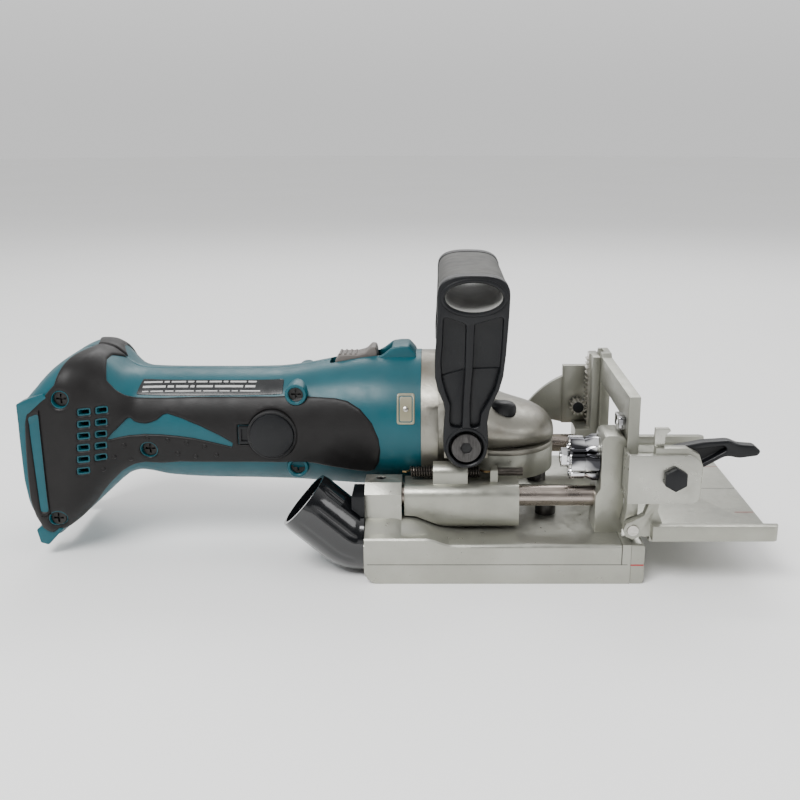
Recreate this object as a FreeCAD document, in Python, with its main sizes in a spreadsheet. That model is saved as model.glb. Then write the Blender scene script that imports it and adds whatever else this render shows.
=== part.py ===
import FreeCAD, Part
import math
import os
import Sketcher

# Cordless biscuit joiner.  +X points forward (the way the blade plunges), +Y to the tool's left, +Z up.
# The origin is on the sole, straight below the blade's axis with the power unit drawn back.

os.makedirs("parts", exist_ok=True)
doc = FreeCAD.newDocument("biscuit_joiner")
sheet = doc.addObject("Spreadsheet::Sheet", "dims")
nodes = []


# ---------------------------------------------------------------- sizes, each one a cell of the sheet

class Size:
    """A length that also remembers the formula which gives it from the sheet."""

    def __init__(self, value, formula):
        self.value = float(value)
        self.formula = formula

    def __add__(self, other):
        other = size(other)
        return Size(self.value + other.value, f"({self.formula} + {other.formula})")

    def __sub__(self, other):
        other = size(other)
        return Size(self.value - other.value, f"({self.formula} - {other.formula})")

    def __mul__(self, other):
        other = size(other)
        return Size(self.value * other.value, f"({self.formula} * {other.formula})")

    def __truediv__(self, other):
        other = size(other)
        return Size(self.value / other.value, f"({self.formula} / {other.formula})")

    def __radd__(self, other):
        return size(other) + self

    def __rsub__(self, other):
        return size(other) - self

    def __rmul__(self, other):
        return size(other) * self

    def __neg__(self):
        return Size(-self.value, f"(0 - {self.formula})")


def size(thing):
    return thing if isinstance(thing, Size) else Size(thing, repr(float(thing)))


def dim(alias, value):
    row = dim.rows = dim.rows + 1
    sheet.set(f"A{row}", alias)
    sheet.set(f"B{row}", str(value))
    sheet.setAlias(f"B{row}", alias)
    return Size(value, "dims." + alias)


dim.rows = 0

# blade and spindle
blade_radius = dim("blade_radius", 50)
blade_axis_z = dim("blade_axis_z", 10)
kerf = dim("blade_kerf", 4)
blade_plate = dim("blade_plate", 2.8)
travel = dim("plunge_travel", 34.4)
spindle_radius = dim("spindle_radius", 7)
motor_axis_z = dim("motor_axis_z", 63.5)

# base
base_rear = dim("base_rear", -68)
base_front = dim("base_front", 64.4)
base_half = dim("base_half_width", 66)
split_z = dim("base_split_z", 9.8)
deck_z = dim("deck_z", 19.8)
front_wall = dim("front_wall", 4)
front_face_depth = dim("front_face_depth", 6.6)
chamber_radius = dim("chamber_radius", 52.5)
bar_radius = dim("bar_radius", 5)
bar_y = dim("bar_y", 41.5)
bar_z = dim("bar_z", 35.3)
post_rear = dim("post_rear", 43.5)
post_front = dim("post_front", 55.9)
post_top = dim("post_top", 68.5)
side_y = dim("side_clear_y", 50.6)

# fence and guide
hinge_x = dim("hinge_x", 58.4)
hinge_z = dim("hinge_z", 26.5)
slide_rear = dim("slide_rear", 56)
slide_front = dim("slide_front", 61.3)
slide_top = dim("slide_top", 88)
guide_z = dim("guide_face_z", 20.5)
guide_thick = dim("guide_thickness", 2.8)
guide_half = dim("guide_half_width", 70.5)
guide_front = dim("guide_front", 125)

# power unit
joint_x = dim("housing_joint_x", -41.4)
housing_radius = dim("housing_radius", 34.8)
wall = dim("housing_wall", 2.6)
foot_half = dim("foot_half_width", 38)
handle_half = dim("handle_half_width", 50)
handle_inner = dim("handle_inner_half", 40)
handle_bolt_x = dim("handle_bolt_x", -19.6)
handle_bolt_z = dim("handle_bolt_z", 62.2)

# small clearances
running = dim("running_clearance", 0.06)
gap = dim("free_gap", 0.3)


# ---------------------------------------------------------------- ways of making things

X, Y, Z = "x", "y", "z"
TURN = {
    X: FreeCAD.Rotation(FreeCAD.Vector(0, 1, 0), 90),
    Y: FreeCAD.Rotation(FreeCAD.Vector(1, 0, 0), -90),
    Z: FreeCAD.Rotation(),
}
PLANE_OF = {X: "YZ_Plane", Y: "XZ_Plane", Z: "XY_Plane"}


def bind(obj, prop, value):
    obj.setExpression(prop, size(value).formula)


def put(obj, at, rotation=None):
    spot = [size(v) for v in at]
    base = FreeCAD.Vector(*[v.value for v in spot])
    obj.Placement = FreeCAD.Placement(base, rotation or FreeCAD.Rotation())
    for letter, value in zip("xyz", spot):
        bind(obj, "Placement.Base." + letter, value)
    return obj


def box(label, x, y, z):
    obj = doc.addObject("Part::Box", label)
    for prop, (low, high) in (("Length", x), ("Width", y), ("Height", z)):
        bind(obj, prop, size(high) - low)
    return put(obj, (x[0], y[0], z[0]))


def cylinder(label, axis, at, radius, length):
    obj = doc.addObject("Part::Cylinder", label)
    bind(obj, "Radius", radius)
    bind(obj, "Height", length)
    return put(obj, at, TURN[axis])


def cone(label, axis, at, radius, end_radius, length):
    obj = doc.addObject("Part::Cone", label)
    bind(obj, "Radius1", radius)
    bind(obj, "Radius2", end_radius)
    bind(obj, "Height", length)
    return put(obj, at, TURN[axis])


def hexagon(label, axis, at, across_flats, length):
    obj = doc.addObject("Part::Prism", label)
    obj.Polygon = 6
    bind(obj, "Circumradius", size(across_flats) / math.sqrt(3))
    bind(obj, "Height", length)
    return put(obj, at, TURN[axis])


def fuse(label, *shapes):
    obj = doc.addObject("Part::MultiFuse", label)
    obj.Shapes = list(shapes)
    obj.Refine = True
    return obj


def cut(label, base, *tools):
    obj = doc.addObject("Part::Cut", label)
    obj.Base = base
    obj.Tool = tools[0] if len(tools) == 1 else fuse(label + "_cutters", *tools)
    obj.Refine = True
    return obj


def common(label, *shapes):
    obj = doc.addObject("Part::MultiCommon", label)
    obj.Shapes = list(shapes)
    return obj


def group(label, shapes):
    obj = doc.addObject("Part::Compound", label)
    obj.Links = list(shapes)
    return obj


def mirror(label, source):
    """The same thing on the tool's other side."""
    obj = doc.addObject("Part::Mirroring", label)
    obj.Source = source
    obj.Normal = (0, 1, 0)
    return obj


def outline(label, axis, points, start, end):
    """A straight-sided plate: a closed sketch padded along one axis, each corner held by the sheet."""
    body = doc.addObject("PartDesign::Body", label)
    sketch = body.newObject("Sketcher::SketchObject", label + "_outline")
    plane = [f for f in body.Origin.OriginFeatures if f.Role == PLANE_OF[axis]][0]
    sketch.AttachmentSupport = [(plane, "")]
    sketch.MapMode = "FlatFace"
    near = -size(end) if axis == Y else size(start)
    sketch.AttachmentOffset = FreeCAD.Placement(FreeCAD.Vector(0, 0, near.value), FreeCAD.Rotation())
    bind(sketch, "AttachmentOffset.Base.z", near)
    corners = [(size(a), size(b)) for a, b in points]
    spots = [FreeCAD.Vector(a.value, b.value, 0) for a, b in corners]
    for i, spot in enumerate(spots):
        sketch.addGeometry(Part.LineSegment(spot, spots[(i + 1) % len(spots)]))
    for i in range(len(spots)):
        sketch.addConstraint(Sketcher.Constraint("Coincident", i, 2, (i + 1) % len(spots), 1))
    for i, pair in enumerate(corners):
        for kind, value in zip(("DistanceX", "DistanceY"), pair):
            index = sketch.addConstraint(Sketcher.Constraint(kind, -1, 1, i, 1, value.value))
            sketch.setExpression(f"Constraints[{index}]", value.formula)
    pad = body.newObject("PartDesign::Pad", label + "_pad")
    pad.Profile = sketch
    bind(pad, "Length", size(end) - start)
    body.Tip = pad
    return body


def rounded(label, source, radius, chosen):
    """The source with every edge that chosen(edge) picks rounded."""
    doc.recompute()
    obj = doc.addObject("Part::Fillet", label)
    obj.Base = source
    reach = size(radius).value
    obj.Edges = [(i + 1, reach, reach) for i, e in enumerate(source.Shape.Edges) if chosen(e)]
    return obj


def middle(edge):
    return edge.valueAt((edge.FirstParameter + edge.LastParameter) / 2)


def runs_along(axis, where=lambda p: True):
    """Picks the straight edges parallel to an axis whose middle passes a test."""
    def test(edge):
        if edge.Curve.TypeId != "Part::GeomLine":
            return False
        return abs(getattr(edge.Curve.Direction, axis)) > 0.99 and where(middle(edge))
    return test


def loft(label, stations, tall):
    """A smooth body through upright ellipses, each (x, y, z, half width, half height)."""
    up, left, ahead = FreeCAD.Vector(0, 0, 1), FreeCAD.Vector(0, 1, 0), FreeCAD.Vector(1, 0, 0)
    turn = FreeCAD.Rotation(up, -left, ahead, "XYZ") if tall else FreeCAD.Rotation(left, up, ahead, "XYZ")
    rings = []
    for i, (x, y, z, half_y, half_z) in enumerate(stations):
        ring = doc.addObject("Part::Ellipse", f"{label}_ring_{i}")
        major, minor = (half_z, half_y) if tall else (half_y, half_z)
        bind(ring, "MajorRadius", major)
        bind(ring, "MinorRadius", minor)
        rings.append(put(ring, (x, y, z), turn))
    obj = doc.addObject("Part::Loft", label)
    obj.Sections = rings
    obj.Solid = True
    return obj


def spun(label, source, count, centre, axis):
    """Copies of a source shape, evenly spaced round an axis."""
    copies = []
    for i in range(count):
        copy = doc.addObject("Part::Compound", f"{label}_{i}")
        copy.Links = [source]
        turn = FreeCAD.Rotation(axis, 360.0 * i / count)
        spot = FreeCAD.Vector(*[size(v).value for v in centre])
        copy.Placement = FreeCAD.Placement(FreeCAD.Vector(), turn, spot)
        copies.append(copy)
    return copies


def node(name, obj):
    obj.Label = name
    nodes.append((name, obj))
    return obj


# ---------------------------------------------------------------- base: sole, chamber, bars, posts

def stadium(label, radius, low, high):
    """The space a disc sweeps as it slides forward by the plunge travel."""
    low, high = size(low), size(high)
    return fuse(
        label,
        cylinder(label + "_rear", Z, (0, 0, low), radius, high - low),
        cylinder(label + "_front", Z, (travel, 0, low), radius, high - low),
        box(label + "_middle", (0, travel), (-size(radius), radius), (low, high)),
    )


def build_base():
    wall_rear = base_front - front_face_depth - front_wall
    slot_low, slot_high = blade_axis_z - 3, blade_axis_z + 3
    chamber_floor, chamber_roof = 2.6, 15
    spindle_slot = 16
    port_x, port_y = (base_rear - 1, -20), (-60, -36)

    casting = rounded(
        "casting_blank",
        box("casting_box", (base_rear, wall_rear - 0.4), (-base_half, base_half), (split_z, deck_z)),
        2, lambda e: abs(middle(e).z - deck_z.value) < 0.01 and abs(middle(e).y) > 60,
    )
    block_half = [(53, deck_z - 1), (53, 40), (48.5, 44.6), (37, 44.6), (34, 41.5), (34, deck_z - 1)]
    block_left = outline("bar_block", X, block_half, base_rear, -50.5)
    block_right = mirror("bar_block_mirror", block_left)
    casting = fuse("casting_with_blocks", casting, block_left, block_right)
    casting = cut(
        "casting_cut", casting,
        stadium("upper_chamber", chamber_radius, split_z - 1, chamber_roof),
        stadium("spindle_slot", spindle_slot, chamber_roof - 1, deck_z + 1),
        box("chip_port_upper", port_x, port_y, (split_z - 1, chamber_roof)),
        cylinder("bar_bore_right", X, (base_rear + 3, -bar_y, bar_z), bar_radius, 30),
        cylinder("bar_bore_left", X, (base_rear + 3, bar_y, bar_z), bar_radius, 30),
        cylinder("set_bore_right", Z, (-60.5, -bar_y, bar_z + 4), 2.5, 20),
        cylinder("set_bore_left", Z, (-60.5, bar_y, bar_z + 4), 2.5, 20),
    )
    node("base_casting", casting)

    cover = fuse(
        "cover_blank",
        box("cover_plate", (base_rear, wall_rear + front_wall), (-base_half, base_half), (0, split_z)),
        box("cover_upstand", (wall_rear, wall_rear + front_wall), (-base_half, base_half), (0, deck_z)),
    )
    cover = rounded("cover_rounded", cover, 7, runs_along(Y, lambda p: p.x < -60 and p.z < 1))
    cover = cut(
        "cover_cut", cover,
        stadium("lower_chamber", chamber_radius, chamber_floor, split_z + 1),
        box("cover_slot", (30, base_front), (-48, 48), (slot_low, slot_high)),
        box("chip_port_lower", port_x, port_y, (chamber_floor, split_z + 1)),
    )
    screw_spots = [(x, y) for x in (-60, 46) for y in (-60, 60)]
    cover = cut("cover_holes", cover, *[
        cylinder(f"cover_bore_{i}", Z, (x, y, -1), 3.2, 5) for i, (x, y) in enumerate(screw_spots)
    ])
    node("blade_cover", cover)

    face_rear = wall_rear + front_wall
    face = box("front_blank", (face_rear, base_front), (-base_half, base_half), (0, deck_z))
    face = rounded("front_rounded", face, 1.8, runs_along(Y, lambda p: p.x > 60))
    face = cut("front_cut", face, box("front_slot", (30, base_front + 5), (-48, 48), (slot_low, slot_high)))
    node("front_plate", face)

    screws = []
    for i, (x, y) in enumerate(screw_spots):
        head = cylinder(f"cover_screw_{i}", Z, (x, y, 0.8), 3.1, 3.1)
        screws.append(cut(f"cover_screw_cut_{i}", head, hexagon(f"hex_a_{i}", Z, (x, y, 0), 3, 2.2)))
    for i, y in enumerate((-24.5, 24.5)):
        head = cylinder(f"deck_screw_{i}", Z, (21.5, y, deck_z), 5.2, 5.5)
        screws.append(cut(f"deck_screw_cut_{i}", head, hexagon(f"hex_b_{i}", Z, (21.5, y, deck_z + 3), 5, 4)))
    node("base_screws", group("base_screws", screws))

    bar_front = post_front - 4
    node("guide_bars", group("guide_bars", [
        cylinder("bar_right", X, (base_rear + 3, -bar_y, bar_z), bar_radius, bar_front - base_rear - 3),
        cylinder("bar_left", X, (base_rear + 3, bar_y, bar_z), bar_radius, bar_front - base_rear - 3),
    ]))
    set_screws = []
    for i, y in enumerate((-bar_y, bar_y)):
        pin = cylinder(f"set_screw_{i}", Z, (-60.5, y, bar_z + bar_radius), 2.5, 3.9)
        set_screws.append(cut(f"set_screw_cut_{i}", pin, hexagon(f"hex_c_{i}", Z, (-60.5, y, 42), 2.5, 3)))
    node("bar_set_screws", group("bar_set_screws", set_screws))


def build_posts():
    """The two uprights that hold the bars' front ends, and the left one's rack column."""
    foot = deck_z
    profile = [(post_rear - 1, foot), (post_front, foot), (post_front, post_top), (post_rear + 1.2, post_top),
               (post_rear + 1.2, 42), (post_rear - 1, 38.5)]
    right = outline("right_post", Y, profile, -side_y, -32)
    right = rounded("right_post_round", right, 3.2, runs_along(Y, lambda p: p.z > 60))
    bores = [cylinder("right_bar_bore", X, (30, -bar_y, bar_z), bar_radius, post_front - 34),
             cylinder("axle_bore", X, (30, -TURRET_Y, TURRET_Z), 3, 30)]
    right = cut("right_post_cut", right, *bores)
    column_rear = post_front - 4
    lower = [(post_rear, foot), (post_front, foot), (post_front, RACK_TOP), (column_rear, RACK_TOP),
             (column_rear, 46), (post_rear, 46)]
    left = outline("left_post", Y, lower, 33, side_y - 0.8)
    left = cut("left_post_cut", left, cylinder("left_bar_bore", X, (30, bar_y, bar_z), bar_radius,
                                               post_front - 34))
    node("fence_posts", group("fence_posts", [right, left]))

    # the rack: a thin toothed strip on the left post's rear face
    pitch = 2 * math.pi * PINION_PITCH / PINION_TEETH
    face = column_rear - 0.9
    teeth = []
    count = 14
    for i in range(count):
        z = PINION_Z + pitch * (i - 2.5)
        teeth.append((face, z - pitch * 0.25))
        teeth.append((face - 1.3, z - pitch * 0.1))
        teeth.append((face - 1.3, z + pitch * 0.1))
        teeth.append((face, z + pitch * 0.25))
    strip = [(column_rear, 46.1), (face, 46.1)] + teeth + [(face, RACK_TOP), (column_rear, RACK_TOP)]
    node("height_rack", outline("height_rack", Y, strip, PINION_Y[0], PINION_Y[1]))


def build_dust_nozzle():
    """A smooth elbow: a short stub in the base's rear face, then a tube rising up and back."""
    bend = FreeCAD.Vector(base_rear.value - 6, -NOZZLE_Y.value, NOZZLE_Z.value)
    slope = math.radians(NOZZLE_ANGLE)
    away = FreeCAD.Vector(-math.cos(slope), 0, math.sin(slope))
    turn = FreeCAD.Rotation(FreeCAD.Vector(0, 0, 1), away)
    back = FreeCAD.Rotation(FreeCAD.Vector(0, 0, 1), FreeCAD.Vector(-1, 0, 0))

    def tube_from_bend(label, radius, length):
        tube = doc.addObject("Part::Cylinder", label)
        bind(tube, "Radius", radius)
        bind(tube, "Height", length)
        return put(tube, tuple(bend), turn)

    def elbow(label, radius, end, length):
        stub = doc.addObject("Part::Cylinder", label + "_stub")
        bind(stub, "Radius", radius)
        stub.Height = 6 + end
        put(stub, (base_rear + end, -NOZZLE_Y, NOZZLE_Z), back)
        knee = doc.addObject("Part::Sphere", label + "_knee")
        bind(knee, "Radius", radius)
        put(knee, (base_rear - 6, -NOZZLE_Y, NOZZLE_Z))
        return fuse(label, stub, knee, tube_from_bend(label + "_tube", radius, length))

    spigot = tube_from_bend("nozzle_spigot", NOZZLE_RADIUS - 0.3, NOZZLE_REACH)
    outer = fuse("nozzle_with_spigot", elbow("nozzle_outer", NOZZLE_RADIUS, 0, NOZZLE_REACH - SPIGOT), spigot)
    inner = elbow("nozzle_inner", NOZZLE_RADIUS - 2.2, 1, NOZZLE_REACH + 1)
    base_side = box("nozzle_base_side", (base_rear, -20), (-80, -10), (-20, 60))
    node("dust_nozzle", cut("dust_nozzle_cut", outer, inner, base_side))
    holder = box("holder_box", (base_rear - 6, base_rear), (-56, -38), (30, 40))
    node("nozzle_holder", cut("holder_cut", holder, elbow("nozzle_relief", NOZZLE_RADIUS + 0.1, 0, 20)))


# ---------------------------------------------------------------- depth turret

TURRET_Y = dim("turret_y", 38)
TURRET_Z = dim("turret_z", 53.9)
STOP_RADIUS = dim("turret_stop_radius", 7.5)
STOP_DEPTH = dim("turret_stop_depth", 12.2)
TURRET_REAR = dim("turret_rear", 30.8)


def build_turret():
    grip = cylinder("turret_grip", X, (TURRET_REAR, -TURRET_Y, TURRET_Z), 10.6, 6.6)
    flare = cone("turret_flare", X, (TURRET_REAR + 6.6, -TURRET_Y, TURRET_Z), 9.6, 11.4, 4.4)
    rim = cylinder("turret_rim", X, (TURRET_REAR + 11, -TURRET_Y, TURRET_Z), 11.4, 2.7)
    axis = FreeCAD.Vector(1, 0, 0)
    # one stop pocket for each biscuit size, which takes the striker's tip
    tools = [cylinder("turret_bore", X, (20, -TURRET_Y, TURRET_Z), 3 + running, 40)]
    for i in range(6):
        angle = math.radians(60 * i - 90)
        y = -TURRET_Y + STOP_RADIUS * math.cos(angle)
        z = TURRET_Z + STOP_RADIUS * math.sin(angle)
        tools.append(cylinder(f"stop_pocket_{i}", X, (TURRET_REAR - 1, y, z), 2.5, STOP_DEPTH + 1))
    scoop = cylinder("scoop", X, (TURRET_REAR - 1, -TURRET_Y, TURRET_Z + 13.3), 3.4, 30)
    scoops = spun("turret_scoop", scoop, 6, (0, -TURRET_Y, TURRET_Z), axis)
    turret = cut("turret_cut", fuse("turret_blank", grip, flare, rim), *tools, *scoops)
    node("depth_turret", turret)
    axle = fuse(
        "axle_blank",
        cylinder("axle_rod", X, (TURRET_REAR - 4.6, -TURRET_Y, TURRET_Z), 3, post_front - TURRET_REAR + 4.1),
        hexagon("axle_nut", X, (TURRET_REAR - 4.2, -TURRET_Y, TURRET_Z), 8.6, 4),
    )
    node("turret_axle", axle)


# ---------------------------------------------------------------- power unit: castings

def build_bearing_box():
    front = cylinder("bearing_drum", Z, (0, 0, 38), 26.8, 12.4)
    lower = [(-49.2, 42.4), (6, 42.4), (6, 21), (-24, 21), (-31, 22.2), (-38, 25.6), (-44, 28), (-49.2, 28.4)]
    boss = outline("slide_boss", Y, lower, 33, bar_y + 8.8)
    boss = rounded("slide_boss_round", boss, 5.5, runs_along(X, lambda p: p.y > 45 and p.z > 40))
    boss = rounded("slide_boss_soft", boss, 5.5, runs_along(X, lambda p: p.y > 45 and p.z < 22))
    lug = box("lug_box", (-35.4, -18.7), (33, 44.6), (40, 51.4))
    lug = rounded("lug_round", lug, 4.5, runs_along(X, lambda p: p.z > 50))
    ear = box("spring_ear", (-7.6, -4), (34, 42), (41, 48.2))
    web = box("boss_web", (-26, 6), (18, 34), (39, 42.4))
    side = fuse("slide_side", boss, lug, ear, web)
    other = mirror("slide_side_mirror", side)
    blank = fuse("bearing_box_blank", front, side, other)
    tools = [cylinder("spindle_way", Z, (0, 0, 30), 9.5, 30),
             cylinder("lower_seat", Z, (0, 0, 41), 13, 20)]
    for sign, word in ((-1, "right"), (1, "left")):
        y = bar_y * sign
        tools.append(cylinder(f"bush_bore_{word}", X, (-60, y, bar_z), 6.5, 80))
        tools.append(cylinder(f"spring_way_{word}", X, (-40, SPRING_Y * sign, SPRING_Z), 3.4, 30))
        tools.append(cylinder(f"striker_way_{word}", X, (-10, SPRING_Y * sign, SPRING_Z), 1.6, 20))
    node("bearing_box", cut("bearing_box_cut", blank, *tools))

    sleeves = []
    for i, (x, y) in enumerate([(x, y) for x in (-49.2, -8) for y in (-bar_y, bar_y)]):
        sleeve = cylinder(f"bush_{i}", X, (x, y, bar_z), 6.5, 14)
        sleeves.append(cut(f"bush_cut_{i}", sleeve, cylinder(
            f"bush_hole_{i}", X, (x - 1, y, bar_z), bar_radius + running, 16)))
    node("bar_bushings", group("bar_bushings", sleeves))
    node("stop_striker", fuse(
        "striker",
        cylinder("striker_tip", X, (-4, -SPRING_Y, SPRING_Z), 2, 12.4),
        cylinder("striker_shank", X, (-7.6, -SPRING_Y, SPRING_Z), 1.6, 4),
    ))
    for sign, word in ((-1, "right"), (1, "left")):
        tube = cylinder(f"spring_{word}", X, (-50.2, SPRING_Y * sign, SPRING_Z), 2.7, 42.4)
        hole = cylinder(f"spring_hole_{word}", X, (-51, SPRING_Y * sign, SPRING_Z), 1.9, 60)
        node(f"tension_spring_{word}", cut(f"spring_cut_{word}", tube, hole))


SPRING_Y = dim("spring_y", 38)
SPRING_Z = dim("spring_z", 46.4)

NOSE = [(-35, 33.9, 33.9, 63.5), (-16, 31.5, 21.5, 66.5), (0, 28.6, 13.4, 61.4),
        (14, 23.4, 10.4, 60), (23, 15, 7.2, 58.4), (26.6, 6, 3.4, 57)]


def nose(label):
    return loft(label, [(x, 0, z, half_y, half_z) for x, half_y, half_z, z in NOSE], tall=False)


def build_gear_housing():
    ring = cylinder("gear_ring", X, (joint_x + 0.1, 0, motor_axis_z), housing_radius, 8.2)
    ring_bore = cylinder("gear_ring_bore", X, (joint_x - 1, 0, motor_axis_z), housing_radius - 4, 6)
    flange = cylinder("flange_plate", Z, (0, 0, 50.5), 26.8, 2.6)
    pads = [box(f"handle_pad_{i}", (-30, -9), low_high, (54, 71))
            for i, low_high in enumerate(((-handle_inner + gap, -20), (20, handle_inner - gap)))]
    blank = fuse("gear_blank", ring, nose("nose"), flange, *pads)
    below = box("below_flange", (-27, 40), (-40, 40), (0, 50.5))
    shaft_way = cylinder("shaft_way", X, (-45, 0, motor_axis_z), 13, 16)
    lock_way = cylinder("lock_way", Z, (0, -16, 60), 3, 30)
    button_way = cylinder("button_way", Z, (0, -16, 64.4), 6.2, 20)
    gear_room = cylinder("gear_room", Z, (0, 0, 50), 22, 11.4)
    top_seat = cylinder("top_seat", Z, (0, 0, 61), 8, 9)
    pinion_room = cylinder("pinion_room", X, (-31, 0, motor_axis_z), 8.4, 13)
    tools = [ring_bore, below, shaft_way, lock_way, button_way, gear_room, top_seat, pinion_room]
    for i, y in enumerate((-1, 1)):
        start = -handle_half if y < 0 else size(20)
        tools.append(cylinder(f"handle_thread_{i}", Y, (handle_bolt_x, start, handle_bolt_z), 4, 30))
    node("gear_housing", cut("gear_housing_cut", blank, *tools))

    screws = []
    for i, (x, y) in enumerate([(-16, 17.5), (-16, -17.5), (17.5, 13), (17.5, -13)]):
        head = cylinder(f"gear_screw_{i}", Z, (x, y, 35), 3.2, 3)
        screws.append(cut(f"gear_screw_cut_{i}", head, hexagon(f"hex_d_{i}", Z, (x, y, 34), 3, 2.6)))
    node("gear_housing_screws", group("gear_housing_screws", screws))


def build_handle():
    """A bridge handle: a hollow bar across the top on two panelled legs."""
    half = [(-33, 84), (-31.2, 79), (-31, 62.2), (-28, 55), (-19.6, 52), (-12, 54.6), (-9.2, 61),
            (-9.2, 78), (-5, 85), (-1.6, 98), (0, 124), (0, 137), (-3, 142), (-9, 144), (-23, 144),
            (-30, 142), (-33, 137), (-33.2, 122), (-34.4, 112), (-34.4, 96)]
    legs = []
    for word, low, high in (("right", -handle_half, -handle_inner), ("left", handle_inner, handle_half)):
        leg = outline(f"handle_leg_{word}", Y, half, low, high)
        legs.append(rounded(f"handle_leg_{word}_soft", leg, 1.6, lambda e: abs(
            abs(middle(e).y) - handle_half.value) < 0.01))
    bar_outline = [(-33, 137), (-30, 142), (-23, 144), (-9, 144), (-3, 142), (0, 137), (-0.6, 127.5),
                   (-7, 124), (-26, 124), (-32.4, 127.5)]
    bar = outline("handle_bar", Y, bar_outline, -handle_half + 5, handle_half - 5)
    hole = doc.addObject("Part::Ellipse", "handle_hole_ring")
    bind(hole, "MajorRadius", 13.2)
    bind(hole, "MinorRadius", 6.8)
    turn = FreeCAD.Rotation(FreeCAD.Vector(1, 0, 0), FreeCAD.Vector(0, 0, 1), FreeCAD.Vector(0, -1, 0), "XYZ")
    put(hole, (-16.6, handle_half + 5, 134), turn)
    bore = doc.addObject("Part::Extrusion", "handle_hole")
    bore.Base = hole
    bore.Dir = (0, -1, 0)
    bore.DirMode = "Custom"
    bore.Solid = True
    bind(bore, "LengthFwd", 2 * handle_half + 10)
    tools = [bore]
    panel = [(-29.4, 87), (-27, 80.5), (-20.4, 78), (-20.4, 119), (-28.4, 121.5), (-30, 110)]
    panel_front = [(-17, 78), (-10.6, 81), (-7, 88), (-5.4, 98), (-4, 121.5), (-17, 119)]
    for i, shape in enumerate((panel, panel_front)):
        for word, low, high in (("right", -handle_half - 1, -handle_half + 4.5),
                                ("left", handle_half - 4.5, handle_half + 1)):
            tools.append(outline(f"panel_{i}_{word}", Y, shape, low, high))
    for word, low in (("right", -handle_half - 1), ("left", handle_inner - 1)):
        tools.append(cylinder(f"bolt_way_{word}", Y, (handle_bolt_x, low, handle_bolt_z), 4.1, 14))
    for word, low in (("right", -handle_half - 1), ("left", handle_half - 4.5)):
        tools.append(cylinder(f"bolt_seat_{word}", Y, (handle_bolt_x, low, handle_bolt_z), 8.4, 5.5))
    node("d_handle", cut("d_handle_cut", fuse("handle_blank", *legs, bar), *tools))

    bolts = []
    for word, head_low, shank_low, hex_low in (
            ("right", -handle_half + 0.2, -handle_half + 4.4, -handle_half - 1),
            ("left", handle_half - 4.5, handle_inner - 12.4, handle_half - 2.4)):
        head = cylinder(f"bolt_head_{word}", Y, (handle_bolt_x, head_low, handle_bolt_z), 7, 4.3)
        shank = cylinder(f"bolt_shank_{word}", Y, (handle_bolt_x, shank_low, handle_bolt_z), 4, 18.1)
        socket = hexagon(f"bolt_socket_{word}", Y, (handle_bolt_x, hex_low, handle_bolt_z), 5, 3.4)
        bolts.append(cut(f"handle_bolt_{word}", fuse(f"bolt_{word}", head, shank), socket))
    node("handle_bolts", group("handle_bolts", bolts))


def build_shaft_lock():
    button = cylinder("lock_button", Z, (0, -16, 70.4), 5.9, 7)
    button = rounded("lock_button_soft", button, 2.4, lambda e: middle(e).z > 77)
    button = fuse("lock_blank", button, cylinder("lock_pin", Z, (0, -16, 58.2), 2.4, 12.4))
    node("shaft_lock_button", button)
    coil = cylinder("lock_spring_tube", Z, (0, -16, 64.5), 4.2, 5.8)
    node("shaft_lock_spring", cut("lock_spring_cut", coil, cylinder(
        "lock_spring_hole", Z, (0, -16, 60), 3.2, 15)))


# ---------------------------------------------------------------- power unit: housing halves

GRIP = [(-206, 27.4, 27.6, 62.5), (-180, 28, 28.2, 61.4), (-140, 27.6, 28.6, 60.8), (-98, 28.2, 29, 60.8),
        (-74, 32.6, 34, 62.8), (-41.4, 34.6, 34.8, 63.5)]


def grip(label, inset, stretch=0):
    stations = []
    for i, (x, half_y, half_z, z) in enumerate(GRIP):
        end = stretch if i == len(GRIP) - 1 else 0
        stations.append((size(x) + end, 0, z, half_y - size(inset), half_z - size(inset)))
    return loft(label, stations, tall=True)


def foot(label, inset, half):
    """The battery foot's block, seen from the side."""
    i = inset
    points = [(-236 + i, 12 + i), (-229.5 + i, 6.6 + i), (-222 - i, 10.6 + i), (-212 - i, 18 + i),
              (-194 - i, 37 + i), (-188 - i, 50), (-188 - i, 80), (-190 - i, 96 - i), (-199 - i, 101.4 - i),
              (-212 + i, 101.4 - i), (-223 + i, 94 - i), (-236 + i, 80 - i)]
    shape = outline(label, Y, points, -half, half)
    return rounded(label + "_soft", shape, 5 - inset / 2, lambda e: abs(abs(middle(e).y) - half.value) < 0.01)


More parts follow.
